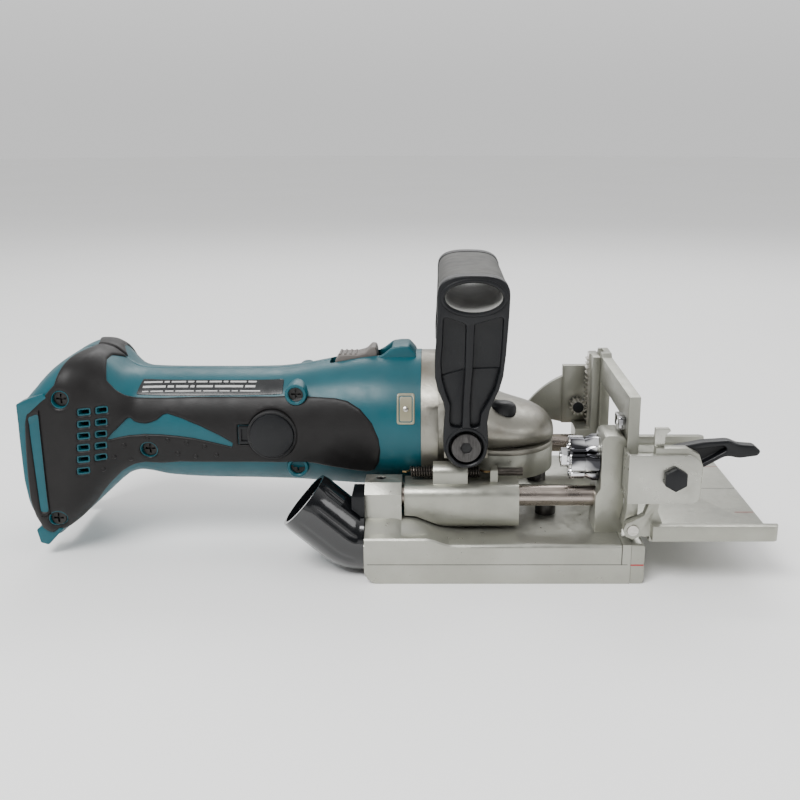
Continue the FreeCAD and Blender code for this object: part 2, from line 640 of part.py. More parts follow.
def build_housing():
    outer = fuse("shell_outer", grip("grip_outer", 0), foot("foot_outer", 0, foot_half))
    inner = fuse("shell_inner", grip("grip_inner", wall, 1), foot("foot_inner", 2.8, foot_half - wall))
    battery_bay = box("battery_bay", (-240, -227), (-31, 31), (0, 84))
    hollow = cut("shell_hollow", inner, box("bay_keep", (-240, -224.4), (-60, 60), (0, 120)))
    shell = cut("shell", outer, hollow, battery_bay)
    tools = []
    for i in range(6):
        z = 75.4 - 6 * i
        tools.append(box(f"vent_rear_{i}", (-211, -205), (-60, 60), (z - 1.2, z + 1.2)))
        if i < 5:
            tools.append(box(f"vent_front_{i}", (-203, -197), (-60, 60), (z - 1.2, z + 1.2)))
    tools.append(box("terminal_way", (-228, -223), (-15.5, 15.5), (33, 61)))
    tools.append(box("knob_way", (-88, -57), (-7, 7), (84, 110)))
    tools.append(box("window_way", (-53, -44.6), (-40, -26), (69.6, 83)))
    for i, y in enumerate((-60, 22.5)):
        tools.append(cylinder(f"brush_way_{i}", Y, (BRUSH_X, y, BRUSH_Z), 8.2, 37.5))
    for i, (x, z) in enumerate(HOUSING_SCREWS):
        tools.append(cylinder(f"screw_way_{i}", Y, (x, -60, z), 3.9, 120))
    shell = cut("shell_open", shell, *tools)
    rim = switch_hood()
    shell = fuse("shell_full", shell, rim)
    for word, low, high in (("right", -60, -0.02), ("left", 0.02, 60)):
        half_space = box(f"half_space_{word}", (-260, 0), (low, high), (-5, 160))
        side = common(f"housing_{word}_half", shell, half_space)
        node(f"housing_{word}", side)
    return outer


def switch_hood():
    """The guard in front of the switch: two rails beside the knob's path and an arch joining them."""
    rail = [(-64, 94), (-63, 98.3), (-55.6, 102.6), (-47, 102.8), (-44.4, 98), (-43.4, 94)]
    arch = [(-56.6, 100.4), (-56.6, 102), (-55.6, 102.6), (-47, 102.8), (-44.4, 98), (-43.4, 94), (-46.4, 94),
            (-48, 98.6), (-50, 100.4)]
    right = outline("hood_rail", Y, rail, -9.8, -7.2)
    across = outline("hood_arch", Y, arch, -7.3, 7.3)
    return fuse("switch_hood", right, mirror("hood_rail_mirror", right), across)


BRUSH_X, BRUSH_Z = -115, 62
HOUSING_SCREWS = [(-214.6, 82.6), (-102.9, 82), (-103.2, 44.4), (-176.7, 54), (-222, 21)]


def build_grip_covers(outer):
    """The soft black cover: a thin skin on each side of the grip and foot."""
    swollen = fuse("skin_outer", grip("grip_skin", -0.9), foot("foot_skin", -0.9, foot_half + 0.9))
    skin = cut("skin", swollen, outer)
    area = [(-222, 18), (-213, 26), (-200, 41), (-190, 46.5), (-150, 47), (-96, 46.5), (-66, 44),
            (-60.6, 56), (-66, 68), (-79, 80.4), (-100, 80), (-150, 79.6), (-186, 80), (-194, 92),
            (-205, 95), (-222, 84), (-226, 74), (-226, 30)]
    outside = box("skin_sides", (-260, 0), (-24, 24), (-5, 160))
    holes = []
    for i, (x, z) in enumerate(HOUSING_SCREWS):
        holes.append(cylinder(f"skin_screw_{i}", Y, (x, -60, z), 4.4, 120))
    holes.append(cylinder("skin_brush", Y, (BRUSH_X, -60, BRUSH_Z), 10.6, 120))
    for i in range(6):
        z = 75.4 - 6 * i
        holes.append(box(f"skin_vent_a_{i}", (-211.5, -204.5), (-60, 60), (z - 1.8, z + 1.8)))
        if i < 5:
            holes.append(box(f"skin_vent_b_{i}", (-203.5, -196.5), (-60, 60), (z - 1.8, z + 1.8)))
    for word, low, high in (("right", -60, -20), ("left", 20, 60)):
        patch = outline(f"skin_area_{word}", Y, area, low, high)
        piece = common(f"skin_{word}", skin, patch)
        node(f"grip_cover_{word}", cut(f"grip_cover_{word}_cut", piece, *holes, outside))


def build_housing_fittings():
    screws = []
    for i, (x, z) in enumerate(HOUSING_SCREWS):
        reach = foot_half.value - 3 if x < -200 else 24.6
        shaft = cylinder(f"housing_screw_{i}", Y, (x, -reach + 3, z), 2, reach * 2 - 6)
        head = cylinder(f"housing_screw_head_{i}", Y, (x, -reach, z), 3.6, 3.2)
        slot = box(f"screw_slot_{i}", (x - 2.4, x + 2.4), (-reach - 1, -reach + 1.4), (z - 0.5, z + 0.5))
        cross = box(f"screw_cross_{i}", (x - 0.5, x + 0.5), (-reach - 1, -reach + 1.4), (z - 2.4, z + 2.4))
        screws.append(cut(f"housing_screw_cut_{i}", fuse(f"screw_{i}", shaft, head), slot, cross))
    node("housing_screws", group("housing_screws", screws))

    caps, brushes = [], []
    for i, (low, edge, inner) in enumerate(((-29.8, -31, -23.9), (25, 28.4, 13.2))):
        cap = cylinder(f"brush_cap_{i}", Y, (BRUSH_X, low, BRUSH_Z), 8.1, 4.8)
        caps.append(cut(f"brush_cap_cut_{i}", cap, box(
            f"cap_slot_{i}", (BRUSH_X - 5, BRUSH_X + 5), (edge, edge + 2.4), (BRUSH_Z - 0.7, BRUSH_Z + 0.7))))
        brushes.append(box(f"brush_{i}", (BRUSH_X - 4, BRUSH_X + 4), (inner, inner + 10.7),
                           (motor_axis_z - 3.2, motor_axis_z + 3.2)))
    node("brush_caps", group("brush_caps", caps))
    node("carbon_brushes", group("carbon_brushes", brushes))

    node("rating_label", common(
        "label_patch",
        cut("label_skin", grip("label_outer", -0.35), grip("label_inner", -0.02)),
        box("label_area", (-183, -110), (-40, -10), (79.8, 86.6)),
    ))
    node("housing_window", box("window_block", (-52.8, -44.8), (-33.2, -26.5), (69.8, 82.8)))
    node("switch_unit", box("switch_block", (-176, -142), (-11, 11), (66, 84)))
    body = box("terminal_body", (-224.2, -214), (-22, 22), (28, 74))
    blades = [box(f"terminal_blade_{i}", (-233, -224.2), (y - 0.6, y + 0.6), (34, 60))
              for i, y in enumerate((-14, 0, 14))]
    node("battery_terminals", group("battery_terminals", [body] + blades))


def build_switch():
    """The slide switch: a ridged thumb piece on top, with a bar back to the switch unit."""
    side = [(-85, 85.3), (-85, 94), (-83, 97.4), (-74, 97.4), (-70, 99), (-67, 101.6),
            (-64.6, 101.6), (-63.6, 99),
            (-64, 85.3)]
    knob = outline("knob_side", Y, side, -6, 6)
    grooves = [box(f"knob_groove_{i}", (-82.4 + 3 * i, -81.2 + 3 * i), (-10, 10), (96.6, 110))
               for i in range(3)]
    node("switch_knob", cut("switch_knob_cut", knob, *grooves))
    node("switch_rod", box("switch_rod_bar", (-141.6, -66), (-3, 3), (84.3, 85.3)))


# ---------------------------------------------------------------- motor and blade drive

def build_rotor():
    shaft_front, shaft_rear = -22, -132
    node("armature_shaft", cylinder("shaft_rod", X, (shaft_rear, 0, motor_axis_z), 4,
                                    shaft_front - shaft_rear))
    bore = cylinder("core_bore", X, (-140, 0, motor_axis_z), 4, 140)
    core = cylinder("core_drum", X, (-96, 0, motor_axis_z), 14.6, 36)
    slot = box("core_slot", (-97, -50), (-1.1, 1.1), (motor_axis_z + 8, motor_axis_z + 18))
    slots = spun("core_slots", slot, 12, (0, 0, motor_axis_z), FreeCAD.Vector(1, 0, 0))
    node("armature_core", cut("armature_core_cut", core, bore, *slots))
    drum = cylinder("commutator_drum", X, (-122, 0, motor_axis_z), 13, 16)
    node("commutator", cut("commutator_cut", drum, cylinder("comm_bore", X, (-140, 0, motor_axis_z), 4, 60)))
    hub = cylinder("fan_hub", X, (-55.6, 0, motor_axis_z), 8, 8.6)
    disc = cylinder("fan_disc", X, (-48.4, 0, motor_axis_z), 26, 1.4)
    blade = box("fan_blade", (-55.6, -48), (-0.7, 0.7), (motor_axis_z + 7, motor_axis_z + 25.6))
    blades = spun("fan_blades", blade, 16, (0, 0, motor_axis_z), FreeCAD.Vector(1, 0, 0))
    fan = fuse("fan_blank", hub, disc, *blades)
    node("cooling_fan", cut("cooling_fan_cut", fan, cylinder("fan_bore", X, (-80, 0, motor_axis_z), 4, 60)))
    pinion = cone("pinion_cone", X, (-26, 0, motor_axis_z), 6.6, 5, 6)
    notch = cylinder("pinion_notch", X, (-28, 0, motor_axis_z + 7), 1, 12)
    notches = spun("pinion_notches", notch, 11, (0, 0, motor_axis_z), FreeCAD.Vector(1, 0, 0))
    pinion_bore = cylinder("pinion_bore", X, (-30, 0, motor_axis_z), 4, 20)
    node("drive_pinion", cut("drive_pinion_cut", pinion, pinion_bore, *notches))

    field = cylinder("field_ring", X, (-97, 0, motor_axis_z), 20.6, 38)
    field_bore = cylinder("field_bore", X, (-100, 0, motor_axis_z), 15.4, 60)
    node("motor_field", cut("motor_field_cut", field, field_bore))
    rings = []
    for i, (x, radius) in enumerate(((-131, 11), (-40.6, 13))):
        ring = cylinder(f"motor_bearing_{i}", X, (x, 0, motor_axis_z), radius, 7)
        rings.append(cut(f"motor_bearing_cut_{i}", ring, cylinder(
            f"motor_bearing_bore_{i}", X, (x - 1, 0, motor_axis_z), 4 + running, 9)))
    node("motor_bearings", group("motor_bearings", rings))


def build_spindle():
    low = blade_axis_z - blade_plate / 2
    flange_low = low + blade_plate
    node("spindle", fuse(
        "spindle_blank",
        cylinder("spindle_nose", Z, (0, 0, 4), spindle_radius, flange_low + 4 - 4),
        cylinder("spindle_rod", Z, (0, 0, flange_low + 4), 6, 69 - flange_low - 4),
    ))
    flange = cylinder("flange_disc", Z, (0, 0, flange_low), 14, 3.6)
    flange_bore = cylinder("flange_bore", Z, (0, 0, 0), spindle_radius, 40)
    node("inner_flange", cut("inner_flange_cut", flange, flange_bore))
    disc = cylinder("blade_disc", Z, (0, 0, low), blade_radius - 2.4, blade_plate)
    tooth = box("blade_tooth", (blade_radius - 6, blade_radius - 0.4), (-1.6, 1.6),
                (blade_axis_z - kerf / 2, blade_axis_z + kerf / 2))
    teeth = spun("blade_teeth", tooth, 6, (0, 0, 0), FreeCAD.Vector(0, 0, 1))
    gullet = cylinder("blade_gullet", Z, (blade_radius - 2, 6, 0), 5.4, 30)
    gullets = spun("blade_gullets", gullet, 6, (0, 0, 0), FreeCAD.Vector(0, 0, 1))
    disc = cut("blade_disc_cut", disc, *gullets, cylinder("blade_bore", Z, (0, 0, 0), spindle_radius, 40))
    node("saw_blade", fuse("saw_blade_full", disc, *teeth))
    nut = cylinder("nut_disc", Z, (0, 0, 3.6), 15, low - 3.6)
    holes = [cylinder(f"nut_hole_{i}", Z, (x, 0, 0), 1.8, 6.4) for i, x in enumerate((-11, 11))]
    node("lock_nut", cut("lock_nut_cut", nut, cylinder("nut_bore", Z, (0, 0, 0), spindle_radius, 40), *holes))
    gear = cone("gear_cone", Z, (0, 0, 51.6), 21, 17, 5.2)
    lock_hole = cylinder("gear_lock_hole", Z, (16, 0, 40), 3, 40)
    lock_holes = spun("gear_lock_holes", lock_hole, 4, (0, 0, 0), FreeCAD.Vector(0, 0, 1))
    gear_bore = cylinder("gear_bore", Z, (0, 0, 40), 6, 40)
    notch = cylinder("gear_notch", Z, (21.6, 0, 40), 0.9, 30)
    notches = spun("gear_notches", notch, 29, (0, 0, 0), FreeCAD.Vector(0, 0, 1))
    node("bevel_gear", cut("bevel_gear_cut", gear, gear_bore, *lock_holes, *notches))
    rings = []
    for i, (z, radius, height) in enumerate(((41, 13, 9), (62, 8, 6.6))):
        ring = cylinder(f"spindle_bearing_{i}", Z, (0, 0, z), radius, height)
        rings.append(cut(f"spindle_bearing_cut_{i}", ring, cylinder(
            f"spindle_bearing_bore_{i}", Z, (0, 0, z - 1), 6 + running, height + 2)))
    node("spindle_bearings", group("spindle_bearings", rings))


# ---------------------------------------------------------------- fence: slide, height gear, guide

PINION_PITCH = 5.0
PINION_TEETH = 12
PINION_Y = (dim("pinion_low_y", 42), dim("pinion_high_y", 48.4))
RACK_TOP = dim("rack_top_z", 87)
PINION_X = dim("pinion_x", 46)
PINION_Z = dim("pinion_z", 56)
SECTOR_Y = dim("sector_y", 50.4)
SECTOR_THICK = dim("sector_thickness", 3.4)
NOZZLE_Y = dim("nozzle_y", 48)
NOZZLE_Z = dim("nozzle_z", 16)
NOZZLE_RADIUS = dim("nozzle_radius", 15.5)
NOZZLE_REACH = dim("nozzle_reach", 31)
SPIGOT = dim("nozzle_spigot_length", 14)
NOZZLE_ANGLE = 41
ARM_INNER = dim("arm_inner_y", 51)
ARM_OUTER = dim("arm_outer_y", 59)
EAR_INNER = dim("ear_inner_y", 59.6)
EAR_OUTER = dim("ear_outer_y", 64.2)
CLAMP_X = dim("clamp_x", 75.9)
CLAMP_Z = dim("clamp_z", 53.5)


def build_fence_slide():
    left_edge = SECTOR_Y + SECTOR_THICK
    portal = [(-ARM_INNER - 1.4, 40), (-31, 40), (-31, 74), (30, 74), (30, 40), (left_edge, 40),
              (left_edge, 80), (44, slide_top + 2), (30, slide_top + 2), (28, slide_top),
              (-ARM_INNER - 1.4, slide_top)]
    plate = outline("slide_plate", X, portal, slide_rear, slide_front)
    arm = [(hinge_x - 4, hinge_z), (hinge_x - 2.6, hinge_z - 3.2), (hinge_x, hinge_z - 4.4),
           (hinge_x + 2.6, hinge_z - 3.2), (hinge_x + 4, hinge_z), (hinge_x + 2.8, 31), (hinge_x + 2.8, 44),
           (hinge_x - 2.4, 44), (hinge_x - 2.4, 34)]
    right_arm = outline("right_arm", Y, arm, -ARM_OUTER, -ARM_INNER)
    left_arm = outline("left_arm", Y, arm, ARM_INNER, ARM_OUTER)
    pins = [cylinder("hinge_way_right", Y, (hinge_x, -80, hinge_z), 2.6, 40),
            cylinder("hinge_way_left", Y, (hinge_x, 40, hinge_z), 2.6, 40)]
    slot = box("rack_slot", (slide_rear - 1, slide_rear + 2), (34, 42), (80, 100))
    node("fence_slide", cut("fence_slide_cut", fuse("slide_blank", plate, right_arm, left_arm), slot, *pins))

    # the quadrant on the left: a quarter disc about the hinge with a raised bearing strip
    ring = cylinder("sector_disc", Y, (hinge_x, SECTOR_Y, hinge_z), 50, SECTOR_THICK)
    keep = outline("sector_keep", Y, [(slide_rear, 44.6), (slide_rear, 90), (5, 90), (5, 52), (40, 44.6)],
                   40, 60)
    strip = box("sector_strip", (37.6, 52), (SECTOR_Y - 0.4, SECTOR_Y + SECTOR_THICK), (44.6, 78.4))
    plate = fuse("sector_blank", common("sector_plate", ring, keep), strip)
    shaft_way = cylinder("knob_shaft_way", Y, (PINION_X, 40, PINION_Z), 3 + running, 30)
    node("angle_sector", cut("angle_sector_cut", plate, shaft_way))

    knob = cylinder("knob_drum", Y, (PINION_X, SECTOR_Y + SECTOR_THICK + gap, PINION_Z), 9.5, 12)
    knob = rounded("knob_soft", knob, 1.6, lambda e: middle(e).y > 65)
    flute = cylinder("knob_flute", Y, (PINION_X + 10.6, 50, PINION_Z), 2, 30)
    flutes = spun("knob_flutes", flute, 12, (PINION_X, 0, PINION_Z), FreeCAD.Vector(0, 1, 0))
    shaft = cylinder("knob_shaft", Y, (PINION_X, PINION_Y[0] - 1, PINION_Z), 3, SECTOR_Y + 5 - PINION_Y[0])
    node("height_knob", fuse("height_knob_full", cut("knob_fluted", knob, *flutes), shaft))
    drum = cylinder("pinion_drum", Y, (PINION_X, PINION_Y[0], PINION_Z), 3.5, PINION_Y[1] - PINION_Y[0])
    tooth = box("pinion_tooth", (PINION_X, PINION_X + 4.7), (PINION_Y[0], PINION_Y[1]),
                (PINION_Z - 0.42, PINION_Z + 0.42))
    teeth = spun("pinion_teeth", tooth, PINION_TEETH, (PINION_X, 0, PINION_Z), FreeCAD.Vector(0, 1, 0))
    pinion = fuse("pinion_blank", drum, *teeth)
    node("height_pinion", cut("height_pinion_cut", pinion, cylinder(
        "height_pinion_bore", Y, (PINION_X, 30, PINION_Z), 3, 30)))


def build_hinge_pins():
    length = EAR_OUTER + 0.6 - ARM_INNER
    pins = [cylinder("hinge_pin_right", Y, (hinge_x, -EAR_OUTER - 0.6, hinge_z), 2.6, length),
            cylinder("hinge_pin_left", Y, (hinge_x, ARM_INNER, hinge_z), 2.6, length)]
    node("hinge_pins", group("hinge_pins", pins))


def build_guide():
    front = guide_front
    top = guide_z + guide_thick
    section = [(-63, guide_z), (63, guide_z), (63, 23.6), (guide_half, 23.6), (guide_half, 31), (66.4, 31),
               (66.4, 27), (61.4, 27), (59.6, top), (-59.6, top), (-61.4, 27), (-66.4, 27), (-66.4, 31),
               (-guide_half, 31), (-guide_half, 23.6), (-63, 23.6)]
    plate = outline("guide_plate", X, section, 66.4, front)
    plate = rounded("guide_plate_soft", plate, 3, runs_along(Z, lambda p: p.x > 120 and abs(p.y) > 70))
    # the plate runs back under the hinge as a thin tongue
    tongue = box("guide_tongue", (hinge_x + 6.2, 68), (-58, 58), (guide_z, top))
    ear = [(hinge_x - 4.6, hinge_z), (hinge_x - 3.2, hinge_z - 3.2), (hinge_x, hinge_z - 4.6),
           (hinge_x + 3.4, hinge_z - 3), (66.4, 23.6), (72, 23.6), (72, 30), (69.6, 36), (70, 41), (88.6, 41),
           (89.2, 58), (87, 64), (81, 67), (67, 67), (65.6, 41), (63.4, 34), (hinge_x, hinge_z + 4.6),
           (hinge_x - 3.2, hinge_z + 3.2)]
    right_ear = outline("right_ear", Y, ear, -EAR_OUTER, -EAR_INNER)
    root = box("right_ear_root", (66.4, 72), (-66.4, -EAR_INNER), (23.6, 30))
    left_ear_shape = [(hinge_x - 4.6, hinge_z), (hinge_x - 3.2, hinge_z - 3.2), (hinge_x, hinge_z - 4.6),
                      (66.4, 23.6), (72, 23.6), (72, 31), (66, 33), (hinge_x, hinge_z + 4.6),
                      (hinge_x - 3.2, hinge_z + 3.2)]
    left_ear = outline("left_ear", Y, left_ear_shape, EAR_INNER, EAR_OUTER)
    left_root = box("left_ear_root", (66.4, 72), (EAR_INNER, 66.4), (23.6, 30))
    blank = fuse("guide_blank", plate, tongue, right_ear, root, left_ear, left_root)
    ways = [cylinder("guide_pin_way_right", Y, (hinge_x, -80, hinge_z), 2.6 + running, 25),
            cylinder("guide_pin_way_left", Y, (hinge_x, 55, hinge_z), 2.6 + running, 25),
            cylinder("guide_clamp_way", Y, (CLAMP_X, -80, CLAMP_Z), 3, 25)]
    node("angle_guide", cut("angle_guide_cut", blank, *ways))

    rear = hinge_x - 3.9
    side = [(rear, 40.6), (87.4, 40.6), (88, 46), (88, 57), (86, 62), (81, 64.4), (rear, 64.4)]
    bracket = outline("bracket_side", Y, side, -EAR_OUTER - 2.4, -EAR_OUTER - 0.1)
    hook = box("bracket_hook", (rear, rear + 1.3), (-EAR_OUTER - 2.4, -ARM_INNER - 0.2), (40.6, 64.4))
    bracket = fuse("bracket_blank", bracket, hook)
    bracket = rounded("bracket_soft", bracket, 1.2, runs_along(Z, lambda p: p.x < 55 and p.y < -66))
    bracket = cut("bracket_cut", bracket, cylinder("bracket_bolt_way", Y, (CLAMP_X, -80, CLAMP_Z), 3, 40))
    node("clamp_bracket", bracket)
    head = hexagon("clamp_head", Y, (CLAMP_X, -EAR_OUTER - 6, CLAMP_Z), 10, 3.6)
    shank = cylinder("clamp_shank", Y, (CLAMP_X, -EAR_OUTER - 2.4, CLAMP_Z), 3, EAR_OUTER - 50.4)
    node("clamp_bolt", fuse("clamp_bolt_full", head, shank))
    pointer = [(66.6, 67.1), (71.4, 67.1), (71.4, 72.6), (74, 74.6), (73, 76), (66.6, 76)]
    node("angle_pointer", outline("angle_pointer", Y, pointer, -EAR_INNER - 2.4, -EAR_INNER))

    lever = [(CLAMP_X - 6, 48), (CLAMP_X, 46), (CLAMP_X + 6.4, 49), (88.5, 54.6), (101, 61.6), (107, 60.4),
             (115.6, 61.6), (117, 63.8), (114, 66.4), (106.4, 67), (102, 69), (90, 68.2), (76, 65.4),
             (70.6, 61), (69, 54)]
    arm = outline("lever_arm", Y, lever, -EAR_INNER + gap, -53)
    arm = rounded("lever_soft", arm, 1.5, lambda e: min(
        abs(middle(e).y + 59.3), abs(middle(e).y + 53)) < 0.01)
    node("angle_lever", cut("angle_lever_cut", arm, cylinder(
        "lever_bolt_way", Y, (CLAMP_X, -80, CLAMP_Z), 3 + running, 40)))


# ---------------------------------------------------------------- build, check, write

build_base()
build_posts()
build_dust_nozzle()
build_turret()
build_bearing_box()
build_gear_housing()
build_handle()
build_shaft_lock()
build_grip_covers(build_housing())
build_housing_fittings()
build_switch()
build_rotor()
build_spindle()
build_fence_slide()
build_hinge_pins()
build_guide()

doc.recompute()
failed = [obj.Label for obj in doc.Objects if "Invalid" in obj.State or "Error" in obj.State]
unsound = [name for name, obj in nodes
           if obj.Shape.isNull() or not obj.Shape.isValid() or obj.Shape.Volume <= 0]
if failed or unsound:
    raise RuntimeError(f"did not build: {failed}; no sound shape: {unsound}")
for name, obj in nodes:
    obj.Shape.exportStep(f"parts/{name}.step")
print(len(nodes), "nodes written")
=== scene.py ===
from math import atan2, cos, degrees, hypot, pi, radians, sin, sqrt, tan

import bmesh
import bpy
import numpy as np
from mathutils import Matrix, Vector
from mathutils.geometry import delaunay_2d_cdt


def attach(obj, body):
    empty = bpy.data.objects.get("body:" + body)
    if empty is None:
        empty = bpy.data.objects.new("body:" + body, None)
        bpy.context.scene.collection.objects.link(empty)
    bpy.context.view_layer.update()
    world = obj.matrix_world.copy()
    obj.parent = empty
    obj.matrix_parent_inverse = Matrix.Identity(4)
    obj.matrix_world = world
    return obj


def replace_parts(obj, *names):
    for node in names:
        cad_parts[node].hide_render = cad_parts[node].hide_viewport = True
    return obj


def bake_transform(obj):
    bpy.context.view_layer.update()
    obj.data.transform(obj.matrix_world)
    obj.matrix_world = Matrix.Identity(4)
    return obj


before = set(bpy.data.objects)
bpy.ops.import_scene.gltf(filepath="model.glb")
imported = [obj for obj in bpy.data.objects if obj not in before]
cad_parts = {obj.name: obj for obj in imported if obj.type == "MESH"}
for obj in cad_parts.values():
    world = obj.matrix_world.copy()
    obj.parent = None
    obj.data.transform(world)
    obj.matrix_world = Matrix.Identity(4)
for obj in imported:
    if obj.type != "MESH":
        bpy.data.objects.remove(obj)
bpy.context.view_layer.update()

# Biscuit joiner.  Lengths in the tables and helpers below are millimetres; objects are made in metres.
MM = 0.001
scene = bpy.context.scene


def new_object(name, data):
    obj = bpy.data.objects.new(name, data)
    scene.collection.objects.link(obj)
    return obj


# ---- camera and light

def make_camera():
    camera = bpy.data.cameras.new("camera")
    camera.sensor_width = 36
    camera.lens = 44.775
    camera.shift_x = -0.0475
    camera.clip_start = 0.01
    camera.clip_end = 20
    obj = new_object("camera", camera)
    obj.location = (-0.033, -0.497, 0.2113)
    obj.rotation_euler = (radians(90 - 15.65), 0, 0)
    scene.camera = obj


def area_light(name, at, aim, width, height, watts):
    light = bpy.data.lights.new(name, "AREA")
    light.shape = "RECTANGLE"
    light.size = width
    light.size_y = height
    light.energy = watts
    obj = new_object(name, light)
    obj.location = at
    obj.rotation_euler = (Vector(aim) - Vector(at)).to_track_quat("-Z", "Y").to_euler()


def new_node(tree, kind, values, **settings):
    """A shader node: values has a number, or a socket to link, for each input."""
    node = tree.nodes.new("ShaderNode" + kind)
    for name, value in settings.items():
        setattr(node, name, value)
    for name, value in values.items():
        if isinstance(value, bpy.types.NodeSocket):
            tree.links.new(value, node.inputs[name])
        else:
            node.inputs[name].default_value = value
    return node


def map_range(tree, value, start, end, low=0.0, high=1.0, **settings):
    values = {"Value": value, "From Min": start, "From Max": end, "To Min": low, "To Max": high}
    return new_node(tree, "MapRange", values, **settings).outputs[0]


def make_world():
    """White all round, dark above and behind the camera, and a little dimmer at the horizon."""
    world = bpy.data.worlds.new("studio")
    scene.world = world
    world.use_nodes = True
    tree = world.node_tree
    tree.nodes.clear()
    coords = new_node(tree, "TexCoord", {}).outputs["Generated"]
    split = new_node(tree, "SeparateXYZ", {0: coords}).outputs
    ahead, below = map_range(tree, split["Y"], -0.75, -0.1), map_range(tree, split["Z"], 0.28, 0.14)
    white = new_node(tree, "Math", {0: ahead, 1: below}, operation="MAXIMUM").outputs[0]
    shades = {"Factor": white, 6: (0.12, 0.12, 0.125, 1), 7: (1, 1, 1, 1)}
    colour = new_node(tree, "Mix", shades, data_type="RGBA").outputs[2]
    strength = map_range(tree, split["Z"], 0.005, 0.16, 0.8, 0.98, interpolation_type="SMOOTHSTEP")
    back = new_node(tree, "Background", {"Color": colour, "Strength": strength})
    new_node(tree, "OutputWorld", {"Surface": back.outputs[0]})


make_camera()
make_world()
area_light("key", (-0.55, -0.75, 1.15), (-0.03, 0, 0.05), 0.8, 0.6, 24)
area_light("fill", (0.95, -0.6, 0.55), (0, 0, 0.05), 0.6, 0.6, 4)
area_light("rim", (0.1, 0.95, 0.9), (0, 0, 0.06), 1.2, 0.4, 8)


# ---- materials

class Shader:
    """A Principled material whose colour, roughness and bump come from procedural nodes."""

    def __init__(self, name, rough=0.5, metallic=0.0, specular=0.5, coat=0.0):
        self.material = bpy.data.materials.new(name)
        self.material.use_nodes = True
        self.tree = self.material.node_tree
        self.tree.nodes.clear()
        self.bsdf = self.node("BsdfPrincipled", {
            "Roughness": rough, "Metallic": metallic, "Specular IOR Level": specular, "Coat Weight": coat})
        self.node("OutputMaterial", {"Surface": self.bsdf.outputs[0]})
        self.coords = self.node("TexCoord", {}).outputs["Object"]
        self.height = None

    def node(self, kind, values, **settings):
        return new_node(self.tree, kind, values, **settings)

    def feed(self, name, source):
        self.tree.links.new(source, self.bsdf.inputs[name])

    def noise(self, scale, detail=3.0, rough=0.55, stretch=(1, 1, 1)):
        """Noise with features about 1/scale metres across, or drawn out along an axis by stretch."""
        place = self.node("Mapping", {"Vector": self.coords, "Scale": stretch}).outputs[0]
        values = {"Vector": place, "Scale": scale, "Detail": detail, "Roughness": rough}
        return self.node("TexNoise", values).outputs["Fac"]

    def cells(self, scale):
        return self.node("TexVoronoi", {"Vector": self.coords, "Scale": scale}).outputs["Distance"]

    def ramp(self, source, start, end, low=0.0, high=1.0):
        return map_range(self.tree, source, start, end, low, high)

    def mix(self, factor, a, b):
        """Colour a where the factor is 0 and b where it is 1; either is a tuple or a socket."""
        a, b = [(*c, 1) if isinstance(c, tuple) else c for c in (a, b)]
        return self.node("Mix", {"Factor": factor, 6: a, 7: b}, data_type="RGBA").outputs[2]

    def finish(self, colour, scale, start, end, low, high, detail=4):
        """Sets the colour, and a roughness that drifts from low to high with noise."""
        self.feed("Base Color", colour)
        self.feed("Roughness", self.ramp(self.noise(scale, detail), start, end, low, high))

    def bump(self, source, depth_mm):
        values = {"Distance": depth_mm * MM, "Height": source}
        if self.height:
            values["Normal"] = self.height
        self.height = self.node("Bump", values).outputs[0]
        self.feed("Normal", self.height)


def plastic(name, colour, dark, rough, grain=2600, depth=0.03, coat=0.0, wear=None, specular=0.5):
    """Moulded plastic: colour drifts to dark, grain per metre and depth in mm; wear is a scuffed tint."""
    s = Shader(name, rough, specular=specular, coat=coat)
    base = s.mix(s.ramp(s.noise(38), 0.3, 0.7), dark, colour)
    if wear:
        base = s.mix(s.ramp(s.noise(420, 4), 0.62, 0.78, 0, 0.35), base, wear)
    s.finish(base, 160, 0.25, 0.75, rough - 0.07, rough + 0.09)
    s.bump(s.noise(grain, 2), depth)
    s.bump(s.noise(300, 2), depth * 0.6)
    return s.material


def casting(name, colour, dark, rough=0.37, grain=1500, depth=0.045, metallic=0.82, grime=None):
    """Cast or plated metal with small specks, and with patches of grime where one is given."""
    s = Shader(name, rough, metallic)
    blotch = s.mix(s.ramp(s.noise(26, 4), 0.28, 0.72), dark, colour)
    specks = s.mix(s.ramp(s.noise(900, 3), 0.66, 0.8, 0, 0.5), blotch, tuple(c * 0.62 for c in dark))
    if grime:
        specks = s.mix(s.ramp(s.noise(34, 6, 0.62), 0.5, 0.78, 0, 0.75), specks, grime)
    s.finish(specks, 220, 0.25, 0.75, rough - 0.1, rough + 0.12)
    s.bump(s.noise(grain, 4), depth)
    s.bump(s.cells(650), depth * 0.5)
    return s.material


def brushed(name, colour, dark, rough, stretch, metallic=1.0):
    """Metal with fine lines across the axis whose stretch is small."""
    s = Shader(name, rough, metallic)
    lines = s.noise(1400, 4, stretch=stretch)
    s.finish(s.mix(s.ramp(lines, 0.32, 0.68), dark, colour), 90, 0.25, 0.75, rough - 0.08, rough + 0.12)
    s.bump(lines, 0.012)
    return s.material


def polished(name, bright, dark):
    """Chrome whose colour carries painted reflections: soft light and dark streaks."""
    s = Shader(name, 0.08, 1.0)
    # painted reflections: stretched streaks of bright and near-black colour standing in for mirrored
    # surroundings
    painted_reflections = s.ramp(s.noise(110, 1.0, 0.4, (0.5, 1, 1)), 0.42, 0.56)
    s.finish(s.mix(painted_reflections, dark, bright), 300, 0.3, 0.8, 0.06, 0.16, 3)
    s.bump(s.noise(700, 2), 0.004)
    return s.material


